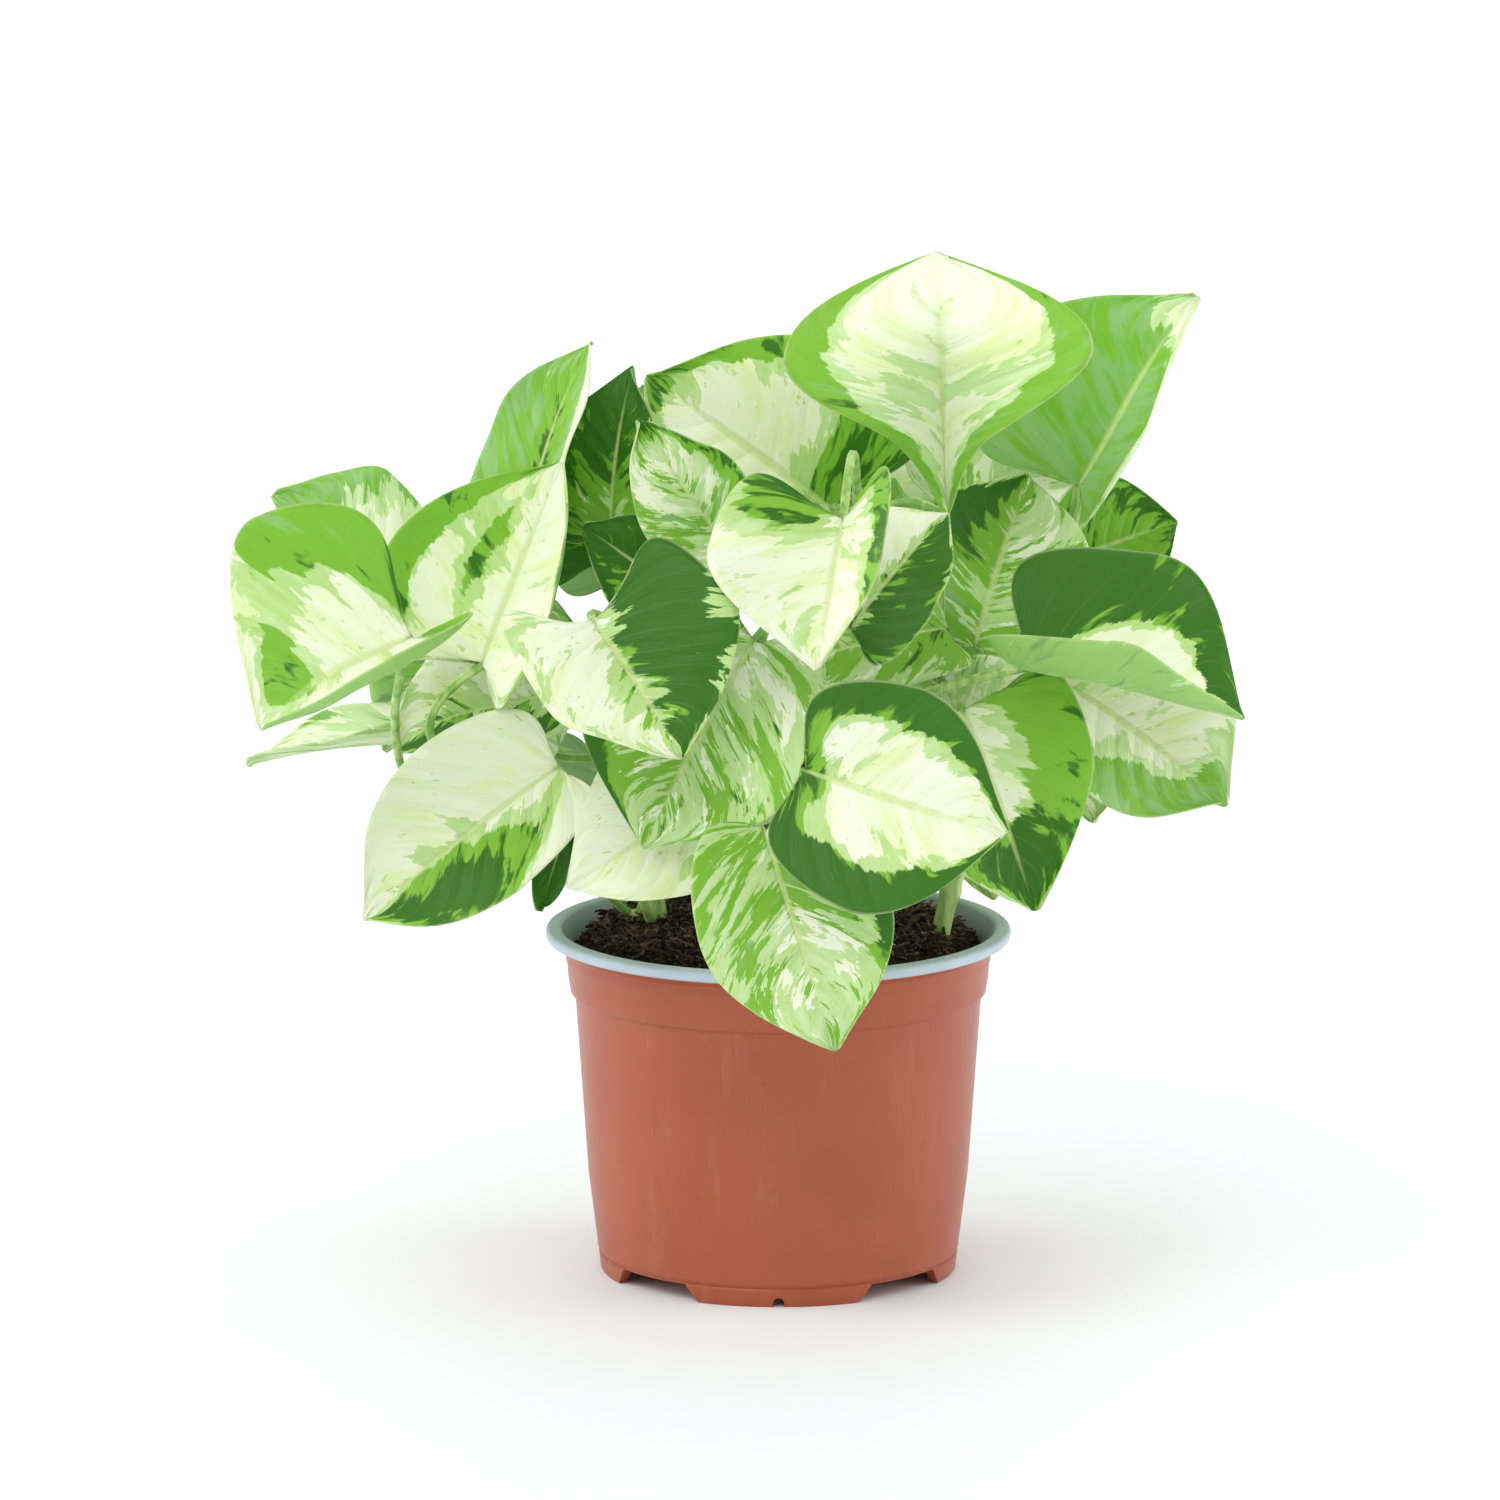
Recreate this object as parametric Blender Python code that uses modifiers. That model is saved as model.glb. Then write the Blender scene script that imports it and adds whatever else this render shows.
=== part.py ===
"""A variegated pothos in a 12 cm nursery pot.

Frame: metres, +Z up, front of the plant towards -Y, origin on the floor under the middle of the plant's
bounding box. The tables below are written about the pot's own axis, and the last step shifts everything.
The pot is a thin moulded shell on four feet. It holds a plug of compost in which seven cut stems stand,
and every leaf, which is a stalk that widens into its blade, grows from one of the stems.
Lengths in the tables below are millimetres and angles are degrees.
"""

import math

import bmesh
import bpy
import numpy as np
from mathutils import Matrix, Vector

MM = 0.001

# ---- driving dimensions, mm -------------------------------------------------------------------
RIM_RADIUS = 60.0
POT_HEIGHT = 90.0
BODY_TOP_RADIUS = 54.8
STEP_RADIUS = 52.4
STEP_HEIGHT = 73.0
BODY_FOOT_RADIUS = 46.8
BASE_HEIGHT = 5.0
WALL = 1.0
POT_SEGMENTS = 40
FEET = 4
FOOT_WIDTH = 3.0
NOTCH_ANGLE = 34.0
SLOT_WIDTH = 3.0
SLOT_HEIGHT = 2.5
DRAIN_HOLES = 6
DRAIN_HOLE_RADIUS = 4.0
DRAIN_CIRCLE = 28.0
GAP = 0.4

SOIL_BOTTOM = BASE_HEIGHT + WALL + GAP
SOIL_EDGE = 85.0
SOIL_CROWN = 9.0

STEM_RADIUS = 2.4
STALK_RADIUS = 1.15
BLADE_HALF_THICKNESS = 0.35

# ---- stems: points from the buried end to the growing tip ---------------------------------------
STEMS = {
    "stem_left": [(-29, -6, 60), (-31, -8, 95), (-38, -12, 124)],
    "stem_back_left": [(-14, 20, 60), (-18, 22, 105), (-27, 20, 142), (-30, 18, 160)],
    "stem_front": [(4, -22, 60), (4, -24, 100), (0, -24, 130)],
    "stem_middle": [(14, 8, 60), (16, 8, 110), (20, 6, 150), (24, 4, 172)],
    "stem_right": [(38, -8, 60), (42, -11, 92), (50, -12, 122), (55, -12, 138)],
    "stem_back": [(-4, 36, 60), (-4, 44, 105), (-8, 50, 148)],
    "stem_back_right": [(30, 28, 60), (38, 32, 105), (46, 34, 150)],
}

# ---- leaves --------------------------------------------------------------------------------------
# stem and height: where the stalk leaves its stem, as a share of the stem's length.
# base, tip: the two ends of the midrib. face: where the upper side looks. width: flat width of the blade.
# arch: how far the midrib bows towards the face, as a share of its length; arch_at: where it bows most.
# wide: where the blade is widest, and lobe: how far its shoulders reach back past the base.
# shoulder: 0.5 for a round heart-shaped base, 1 for one that narrows like a funnel.
# taper: how much the last quarter narrows to its point; below 0 it stays blunt.
# left, right: (fold, curl) of each half; fold lifts it at the midrib, curl goes on bending it to the margin.
# flare: above 0, the folding is stronger at the base than at the tip. twist: turn from base to tip.
LEAF_DEFAULTS = dict(arch=0.06, arch_at=0.5, left=(12, 20), right=(12, 20), flare=0.0, twist=0.0, lobe=0.32,
                     wide=0.36, shoulder=0.5, taper=0.3, ripple=1.8, rise=45.0, sway=(0, 0, 0))
LEAVES = {
    # the crown and the upper left
    "leaf_top": dict(stem="stem_middle", height=0.92, base=(42.5, -27, 201.2), tip=(39.5, -37, 270.6),
                     face=(0, -1, 0.1), width=84, left=(30, 10), right=(36, 20), flare=0.9, arch=0.2,
                     arch_at=0.8, wide=0.72, lobe=0.1, ripple=2.0, shoulder=0.7, sway=(-13, -1, 17),
                     taper=-0.32),
    "leaf_top_right": dict(stem="stem_back_right", height=0.9, base=(77.1, 17, 201.7),
                           tip=(108.1, 12, 251.7), face=(-0.35, -0.9, 0.2), width=72, left=(5, 20),
                           right=(40, 40), arch=0.1, arch_at=0.7, sway=(0, -11, -7)),
    "leaf_back_cream": dict(stem="stem_middle", height=0.82, base=(14, 26, 194), tip=(-34, 22, 230),
                            face=(0.1, -1, 0.15), width=78, sway=(0, 0, -4)),
    "leaf_dark_point": dict(stem="stem_back_left", height=0.92, base=(-43.2, 19, 188.1),
                            tip=(-37.2, 16, 233.3), face=(-0.5, -0.85, 0.1), width=36, sway=(4, 0, 0)),
    "leaf_left_tall": dict(stem="stem_back_left", height=0.8, base=(-65.9, 20, 185), tip=(-47.9, 9, 240.9),
                           face=(-0.6, -0.7, 0.3), width=36, sway=(-16, 0, 0)),
    "leaf_left_cream": dict(stem="stem_left", height=0.97, base=(-75.9, -15, 160.9),
                            tip=(-54.9, -11, 212.8), face=(-0.1, -1, 0.1), width=70, right=(45, 40),
                            sway=(-28, -21, -7)),
    "leaf_far_left": dict(stem="stem_left", height=0.8, base=(-92.6, -54, 175.2), tip=(-129.5, -72, 154.8),
                          face=(-0.15, -0.85, 0.5), width=90, left=(35, 50), right=(0, 30), lobe=0.3,
                          arch=0.14, arch_at=0.6, wide=0.42, rise=90, sway=(-19, 39, -45)),
    "leaf_far_left_back": dict(stem="stem_back_left", height=0.66, base=(-100, 36, 176),
                               tip=(-131, 42, 196), face=(-0.3, -0.5, 0.8), width=40),
    "leaf_square": dict(stem="stem_back_left", height=0.96, base=(-13, -20, 192), tip=(-36.1, -24, 226),
                        face=(0, -1, 0.1), width=32, rise=30),
    "leaf_dark_a": dict(stem="stem_back_left", height=0.72, base=(-46.1, 39, 178.4),
                        tip=(-53.2, 37, 212.5), face=(0, -1, 0.2), width=38),
    "leaf_dark_b": dict(stem="stem_left", height=0.96, base=(-24, 0, 174.9), tip=(-50.1, -4, 195),
                        face=(0, -0.9, 0.4), width=32),
    # the lower left
    "leaf_left_under": dict(stem="stem_left", height=0.73, base=(-54.3, 0, 152.5), tip=(-98.6, -8, 136.4),
                            face=(0, -0.6, 0.8), width=46, arch=0.12, arch_at=0.7, sway=(7, -1, 7)),
    "leaf_left_edge": dict(stem="stem_back_left", height=0.45, base=(-58, 15, 131.8),
                           tip=(-138, 21, 127.8), face=(0, 0, 1), width=50, sway=(0, 4, 4)),
    "leaf_bottom_left": dict(stem="stem_left", height=0.62, base=(-56, -36, 138.4),
                             tip=(-104.9, -44, 100.2), face=(-0.2, -0.9, 0.4), width=50, wide=0.42,
                             right=(12, 15), rise=105, sway=(7, 28, -35)),
    "leaf_rolled": dict(stem="stem_left", height=0.49, base=(-50.1, -37, 130.6), tip=(-60.1, -43, 102.5),
                        face=(-0.5, -0.9, 0.2), width=16, rise=90, sway=(0, -7, 0)),
    "leaf_low_cream": dict(stem="stem_front", height=0.78, base=(-4, -53, 142.2), tip=(-53.1, -61, 112.1),
                           face=(0, -0.9, 0.4), width=46, wide=0.42, sway=(-4, -8, -1)),
    # the middle
    "leaf_front_marbled": dict(stem="stem_front", height=0.96, base=(-6, -61, 175.9),
                               tip=(-34.1, -71, 124.8), face=(-0.1, -0.9, 0.4), width=66, wide=0.45,
                               right=(15, 25), sway=(4, -15, 10)),
    "leaf_centre_dark": dict(stem="stem_front", height=0.88, base=(-46, -84, 184.8),
                             tip=(-24, -100, 152.8), face=(0, -0.8, 0.6), width=62, left=(8, 15),
                             right=(18, 25), lobe=0.45, sway=(4, 4, 0)),
    "leaf_upper_centre": dict(stem="stem_middle", height=0.75, base=(15.8, -81, 210.2),
                              tip=(9.6, -105, 176.5), face=(0, -0.8, 0.6), width=64, left=(50, 30),
                              wide=0.4, right=(5, 10), rise=30, sway=(0, -8, 21)),
    "leaf_centre_fold": dict(stem="stem_middle", height=0.9, base=(17.7, -73, 180.8),
                             tip=(42.4, -67, 209.1), face=(-0.2, -0.8, 0.5), width=40, rise=30,
                             sway=(-28, 7, 15)),
    "leaf_mid_under": dict(stem="stem_middle", height=0.58, base=(42, -32, 173.6), tip=(-4, -44, 164),
                           face=(0, -0.8, 0.6), width=40, sway=(7, -7, -35)),
    "leaf_behind_blue": dict(stem="stem_middle", height=0.59, base=(25.9, 10, 168.7),
                             tip=(28.9, 12, 204.7), face=(0, -1, 0.2), width=36, rise=30, sway=(-4, 11, 2)),
    "leaf_grey_mid": dict(stem="stem_middle", height=0.45, base=(49.1, -7, 147.8), tip=(18, -11, 171.9),
                          face=(0, -0.9, 0.5), width=34, rise=30, sway=(-15, -6, -18)),
    "leaf_dark_centre": dict(stem="stem_front", height=0.49, base=(10.1, -17, 156.4),
                             tip=(-10, -23, 130.2), face=(0, -0.9, 0.5), width=34, sway=(-7, 5, 10)),
    "leaf_front_right": dict(stem="stem_front", height=0.65, base=(5.9, -99, 150.1),
                             tip=(55.5, -103, 134.2), face=(0.05, -1, 0.15), width=62, lobe=0.25,
                             wide=0.42, right=(10, 20), rise=15, sway=(24, -3, 4)),
    "leaf_front_low": dict(stem="stem_front", height=0.45, base=(-4, -89, 133.4), tip=(13.8, -105, 80.1),
                           face=(0, -0.95, 0.3), width=52, wide=0.45, rise=30, sway=(18, -12, -8)),
    # the right
    "leaf_right_centre": dict(stem="stem_right", height=0.95, base=(49.9, -18, 166.3), tip=(64, -4, 208.4),
                              face=(-0.1, -0.9, 0.4), width=60, sway=(3, 0, 11)),
    "leaf_behind_yellow": dict(stem="stem_back_right", height=0.86, base=(44.7, 32, 192),
                               tip=(81.6, 38, 215.9), face=(0, -0.8, 0.6), width=44, sway=(-2, 0, -16)),
    "leaf_right_behind": dict(stem="stem_back_right", height=0.62, base=(70.1, 42, 175.7),
                              tip=(104.1, 46, 187.7), face=(0, -1, 0.4), width=46, ripple=1.0),
    "leaf_right_big": dict(stem="stem_right", height=0.87, base=(61.4, -64, 169.4),
                           tip=(116.1, -72, 157.4), face=(0, -0.65, 0.75), width=80, left=(0, 15),
                           right=(35, 60), lobe=0.35, wide=0.42, sway=(-40, 0, -7)),
    "leaf_right_small": dict(stem="stem_back_right", height=0.56, base=(81.9, 4, 158.7),
                             tip=(107.8, 8, 150.7), face=(0, -0.6, 0.8), width=24, rise=75,
                             sway=(14, 11, -8)),
    "leaf_right_lower": dict(stem="stem_right", height=0.66, base=(72, -6, 155), tip=(114, -20, 125),
                             face=(0.2, -0.8, 0.5), width=62, wide=0.42),
    "leaf_white_green": dict(stem="stem_right", height=0.57, base=(46.1, -59, 157.4),
                             tip=(64.2, -65, 107.3), face=(0.1, -0.9, 0.4), width=56, wide=0.26, rise=60,
                             sway=(-7, -1, 14)),
    "leaf_right_inner": dict(stem="stem_right", height=0.5, base=(44, -34, 148), tip=(72, -40, 160),
                             face=(0, -0.8, 0.6), width=28, sway=(0, -4, 0)),
    "leaf_dark_right": dict(stem="stem_middle", height=0.3, base=(62, 17, 136), tip=(30, 12, 160),
                            face=(0, -0.9, 0.5), width=44, sway=(0, -4, -4)),
    # the back
    "leaf_back_a": dict(stem="stem_back", height=0.93, base=(-12, 104, 166.5), tip=(-30.3, 144, 140.2),
                        face=(-0.1, 0.7, 0.8), width=70, arch=0.12, sway=(-4, 8, 0)),
    "leaf_back_b": dict(stem="stem_back", height=0.8, base=(20, 61, 158.5), tip=(41, 99, 124.5),
                        face=(0.2, 0.8, 0.6), width=62, arch=0.1),
    "leaf_back_c": dict(stem="stem_back", height=0.65, base=(-46.1, 68, 148.9), tip=(-80.2, 96, 114.8),
                        face=(-0.3, 0.8, 0.6), width=64, arch=0.1, sway=(-4, 8, 0)),
    "leaf_back_d": dict(stem="stem_back", height=0.5, base=(-2, 72, 128), tip=(-12, 92, 80),
                        face=(0, 0.95, 0.3), width=58),
    "leaf_back_e": dict(stem="stem_back_right", height=0.94, base=(60.3, 69, 168.1), tip=(98.4, 91, 144),
                        face=(0.4, 0.6, 0.8), width=62, arch=0.1, rise=15, sway=(4, 17, -20)),
    "leaf_back_f": dict(stem="stem_back_right", height=0.69, base=(60.2, 62, 138.9), tip=(84.2, 90, 98.8),
                        face=(0.4, 0.8, 0.4), width=58, rise=60),
    "leaf_back_g": dict(stem="stem_back_left", height=0.9, base=(-32, 46, 176), tip=(-34, 66, 220),
                        face=(-0.1, 0.9, 0.3), width=60),
    "leaf_back_h": dict(stem="stem_back_left", height=0.56, base=(-61.8, 34, 153.5),
                        tip=(-103.7, 54, 125.5), face=(-0.5, 0.6, 0.6), width=58, arch=0.1),
    "leaf_back_i": dict(stem="stem_middle", height=0.9, base=(20, 37, 194.5), tip=(10, 63, 234.5),
                        face=(0, 0.9, 0.35), width=66, sway=(-14, 7, 0)),
    "leaf_back_j": dict(stem="stem_back_left", height=0.34, base=(-42, 50, 120), tip=(-68, 74, 86),
                        face=(-0.4, 0.9, 0.2), width=48),
    "leaf_back_k": dict(stem="stem_back_right", height=0.35, base=(42, 56, 116), tip=(58, 80, 80),
                        face=(0.4, 0.9, 0.2), width=46),
    "leaf_back_l": dict(stem="stem_back", height=0.99, base=(2, 77, 175.5), tip=(36.2, 105, 193.6),
                        face=(0.2, 0.8, 0.5), width=54, sway=(0, 0, -4)),
    "leaf_right_back": dict(stem="stem_back_right", height=0.84, base=(82, 34, 152), tip=(110, 50, 114),
                            face=(0.7, 0.3, 0.6), width=52),
}

RING_ALONG = (0.05, 0.14, 0.27, 0.44, 0.62, 0.79, 0.92)
RING_ACROSS = (1.0, 0.5, 0.0, -0.5, -1.0)
STALK_STEPS = 3


def unit(vector):
    vector = np.asarray(vector, float)
    return vector / np.linalg.norm(vector)


def smooth_path(points, steps):
    """Points of a Catmull-Rom curve through the given ones."""
    p = [np.asarray(q, float) for q in points]
    p = [2 * p[0] - p[1]] + p + [2 * p[-1] - p[-2]]
    found = []
    for a, b, c, d in zip(p, p[1:], p[2:], p[3:]):
        for k in range(steps):
            t = k / steps
            found.append(0.5 * (2 * b + (c - a) * t + (2 * a - 5 * b + 4 * c - d) * t * t
                                + (3 * b - 3 * c + d - a) * t ** 3))
    found.append(p[-2])
    return found


def stem_point(stem, share):
    path = smooth_path(STEMS[stem], 8)
    where = share * (len(path) - 1)
    k = min(int(where), len(path) - 2)
    return path[k] + (path[k + 1] - path[k]) * (where - k)


def leaf_axes(leaf):
    """The blade's own directions: along the midrib, to its left, and out of its upper side."""
    along = unit(np.subtract(leaf["tip"], leaf["base"]))
    face = np.asarray(leaf["face"], float)
    out = unit(face - along * face.dot(along))
    return along, np.cross(out, along), out


def bend(share, fold, curl):
    """Across and up of a point on a half blade that folds and then curls, for a half width of 1."""
    if abs(curl) < 0.01:
        return share * math.cos(fold), share * math.sin(fold)
    across = (math.sin(fold + curl * share) - math.sin(fold)) / curl
    up = (math.cos(fold) - math.cos(fold + curl * share)) / curl
    return across, up


def blade_point(leaf, u, v):
    """A point of the blade's middle surface: u from base to tip, v from the left margin 1 to the right -1."""
    along, left, out = leaf_axes(leaf)
    length = np.linalg.norm(np.subtract(leaf["tip"], leaf["base"]))
    half = leaf["width"] / 2
    fullest = math.log(0.5) / math.log(leaf["wide"])
    narrowing = max(0.0, (u - 0.75) / 0.25) ** 2
    half_here = half * (1 - leaf["taper"] * narrowing)
    half_here *= math.sin(math.pi * u ** fullest) ** (leaf["shoulder"] + 0.3 * u)
    lobe = leaf["lobe"] * half * math.sin(math.pi * min(u / 0.36, 1.0) ** 0.6)
    share = abs(v)
    fold, curl = (math.radians(angle * (1 + leaf["flare"] * (1 - 2 * u)))
                  for angle in leaf["left" if v > 0 else "right"])
    across, up = bend(share, fold, curl)
    bowed = u ** (math.log(0.5) / math.log(leaf["arch_at"]))
    phase = 0.61 * leaf["width"] + 0.37 * length + (0.0 if v > 0 else 2.1)
    wave = math.sin(math.tau * 1.7 * u + phase) * share * share
    x = length * u - lobe * share ** 1.4
    y = math.copysign(half_here * across, v)
    z = half_here * up + leaf["arch"] * length * 4 * bowed * (1 - bowed) + leaf["ripple"] * wave
    turn = math.radians(leaf["twist"] * (u - 0.5))
    y, z = y * math.cos(turn) - z * math.sin(turn), y * math.sin(turn) + z * math.cos(turn)
    return np.asarray(leaf["base"], float) + along * x + left * y + out * z


def stalk_path(leaf):
    """The stalk's line, from just off its stem to the blade's base, which it meets from beneath."""
    along, _, out = leaf_axes(leaf)
    end = np.asarray(leaf["base"], float)
    root = stem_point(leaf["stem"], leaf["height"])
    outward = end - root
    outward[2] = 0
    outward = unit(outward)
    start = root + outward * (STEM_RADIUS + STALK_RADIUS + GAP)
    rise = math.radians(leaf["rise"])
    arrive = along * math.cos(rise) + out * math.sin(rise)
    reach = np.linalg.norm(end - start)
    sway = np.asarray(leaf["sway"], float)
    second = start + (outward * 0.5 + np.array((0, 0, 1))) * reach * 0.3 + sway
    third = end - arrive * reach * 0.3 + sway
    path = []
    for k in range(STALK_STEPS + 1):
        t = k / STALK_STEPS
        path.append(start * (1 - t) ** 3 + second * 3 * t * (1 - t) ** 2
                    + third * 3 * t * t * (1 - t) + end * t ** 3)
    return path


def leaf_rings(leaf):
    """Closed rings of a whole leaf: round ones along the stalk, then thin ones across the blade."""
    _, left, out = leaf_axes(leaf)
    count = len(RING_ACROSS)
    path = stalk_path(leaf)
    rings = []
    for k, centre in enumerate(path):
        ahead = unit(path[min(k + 1, len(path) - 1)] - path[max(k - 1, 0)])
        side = unit(left - ahead * left.dot(ahead))
        up = np.cross(ahead, side)
        ring = []
        for j in range(2 * count):
            angle = math.pi * (j + 0.5) / count
            ring.append(centre + (side * math.cos(angle) + up * math.sin(angle)) * STALK_RADIUS)
        rings.append(ring)
    step = 0.01
    for u in RING_ALONG:
        top, bottom = [], []
        for v in RING_ACROSS:
            here = blade_point(leaf, u, v)
            forward = blade_point(leaf, u + step, v) - blade_point(leaf, u - step, v)
            inner = 0.98 * v
            sideways = blade_point(leaf, u, inner + step) - blade_point(leaf, u, inner - step)
            normal = unit(np.cross(forward, sideways))
            top.append(here + normal * BLADE_HALF_THICKNESS)
            bottom.append(here - normal * BLADE_HALF_THICKNESS)
        rings.append(top + bottom[::-1])
    return rings


def new_object(name, mesh, material, collection):
    made = bpy.data.objects.new(name, mesh)
    mesh.materials.append(material)
    collection.objects.link(made)
    return made


def new_material(name, colour, roughness):
    material = bpy.data.materials.new(name)
    material.use_nodes = True
    shader = material.node_tree.nodes["Principled BSDF"]
    shader.inputs["Base Color"].default_value = (*colour, 1)
    shader.inputs["Roughness"].default_value = roughness
    shader.inputs["Metallic"].default_value = 0
    return material


def make_leaf(name, leaf, material, collection):
    """A leaf is one closed loft, from the stalk's round rings to the blade's thin ones and its tip."""
    rings = leaf_rings(leaf)
    mesh = bmesh.new()
    rows = [[mesh.verts.new(Vector(p) * MM) for p in ring] for ring in rings]
    for near, far in zip(rows, rows[1:]):
        for j in range(len(near)):
            k = (j + 1) % len(near)
            mesh.faces.new((near[j], near[k], far[k], far[j]))
    mesh.faces.new(rows[0])
    tip = mesh.verts.new(Vector(leaf["tip"]) * MM)
    last = rows[-1]
    for j in range(len(last)):
        mesh.faces.new((last[j], last[(j + 1) % len(last)], tip))
    bmesh.ops.triangulate(mesh, faces=mesh.faces)
    bmesh.ops.recalc_face_normals(mesh, faces=mesh.faces)
    data = bpy.data.meshes.new(name)
    mesh.to_mesh(data)
    mesh.free()
    data.shade_smooth()
    return new_object(name, data, material, collection)


def screw_object(name, profile, material, collection, steps=POT_SEGMENTS):
    """A closed solid turned from a profile of (radius, height) points that starts and ends on the axis."""
    mesh = bpy.data.meshes.new(name)
    verts = [(r * MM, 0, z * MM) for r, z in profile]
    mesh.from_pydata(verts, [(k, k + 1) for k in range(len(verts) - 1)], [])
    made = new_object(name, mesh, material, collection)
    turn = made.modifiers.new("turn", "SCREW")
    turn.steps = turn.render_steps = steps
    turn.use_merge_vertices = True
    turn.merge_threshold = 0.00005
    turn.use_smooth_shade = True
    return made


def tube_mesh(name, points, radius, resolution=1):
    """A closed tube along a path, as a mesh."""
    curve = bpy.data.curves.new(name, "CURVE")
    curve.dimensions = "3D"
    curve.bevel_depth = radius * MM
    curve.bevel_resolution = resolution
    curve.use_fill_caps = True
    spline = curve.splines.new("POLY")
    spline.points.add(len(points) - 1)
    for target, point in zip(spline.points, points):
        target.co = (*(Vector(point) * MM), 1)
    holder = bpy.data.objects.new(name + "_line", curve)
    bpy.context.scene.collection.objects.link(holder)
    bpy.context.view_layer.update()
    mesh = bpy.data.meshes.new_from_object(holder.evaluated_get(bpy.context.evaluated_depsgraph_get()))
    bpy.data.objects.remove(holder)
    work = bmesh.new()
    work.from_mesh(mesh)
    bmesh.ops.remove_doubles(work, verts=work.verts, dist=0.00001)
    bmesh.ops.recalc_face_normals(work, faces=work.faces)
    work.to_mesh(mesh)
    work.free()
    mesh.name = name
    mesh.shade_smooth()
    return mesh


def cut(target, cutter, cutters):
    """Take the cutter away from the target, and keep it as a hidden helper."""
    cutters.objects.link(cutter)
    cutter.hide_render = True
    cutter.display_type = "WIRE"
    modifier = target.modifiers.new("cut_" + cutter.name, "BOOLEAN")
    modifier.operation = "DIFFERENCE"
    modifier.object = cutter


def pot_profile():
    """Outer side from the top of the rim down to the foot, then the inside back up, as one closed line."""
    outer = [
        (RIM_RADIUS - 4.2, POT_HEIGHT), (RIM_RADIUS - 1.0, POT_HEIGHT - 0.2), (RIM_RADIUS, POT_HEIGHT - 1.0),
        (RIM_RADIUS - 0.2, POT_HEIGHT - 2.4), (RIM_RADIUS - 2.6, POT_HEIGHT - 4.2),
        (BODY_TOP_RADIUS, POT_HEIGHT - 6.4), (BODY_TOP_RADIUS - 0.5, POT_HEIGHT - 12.0),
        (STEP_RADIUS + 1.2, STEP_HEIGHT + 1.0), (STEP_RADIUS, STEP_HEIGHT),
        (BODY_FOOT_RADIUS, BASE_HEIGHT + 2.0), (BODY_FOOT_RADIUS - 0.8, BASE_HEIGHT),
        (BODY_FOOT_RADIUS - 0.3, BASE_HEIGHT - 1.5), (BODY_FOOT_RADIUS - 0.8, 0.0),
        (BODY_FOOT_RADIUS - 0.8 - FOOT_WIDTH, 0.0), (BODY_FOOT_RADIUS - 1.2 - FOOT_WIDTH, BASE_HEIGHT),
    ]
    inner = [
        (0.0, BASE_HEIGHT), (0.0, BASE_HEIGHT + WALL), (BODY_FOOT_RADIUS - 2.0, BASE_HEIGHT + WALL),
        (BODY_FOOT_RADIUS - WALL, BASE_HEIGHT + 3.0), (STEP_RADIUS - WALL, STEP_HEIGHT - 0.5),
        (STEP_RADIUS + 1.2 - WALL, STEP_HEIGHT + 0.5), (BODY_TOP_RADIUS - 0.5 - WALL, POT_HEIGHT - 12.0),
        (BODY_TOP_RADIUS - WALL, POT_HEIGHT - 5.4), (RIM_RADIUS - 4.2, POT_HEIGHT),
    ]
    return outer + inner


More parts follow.
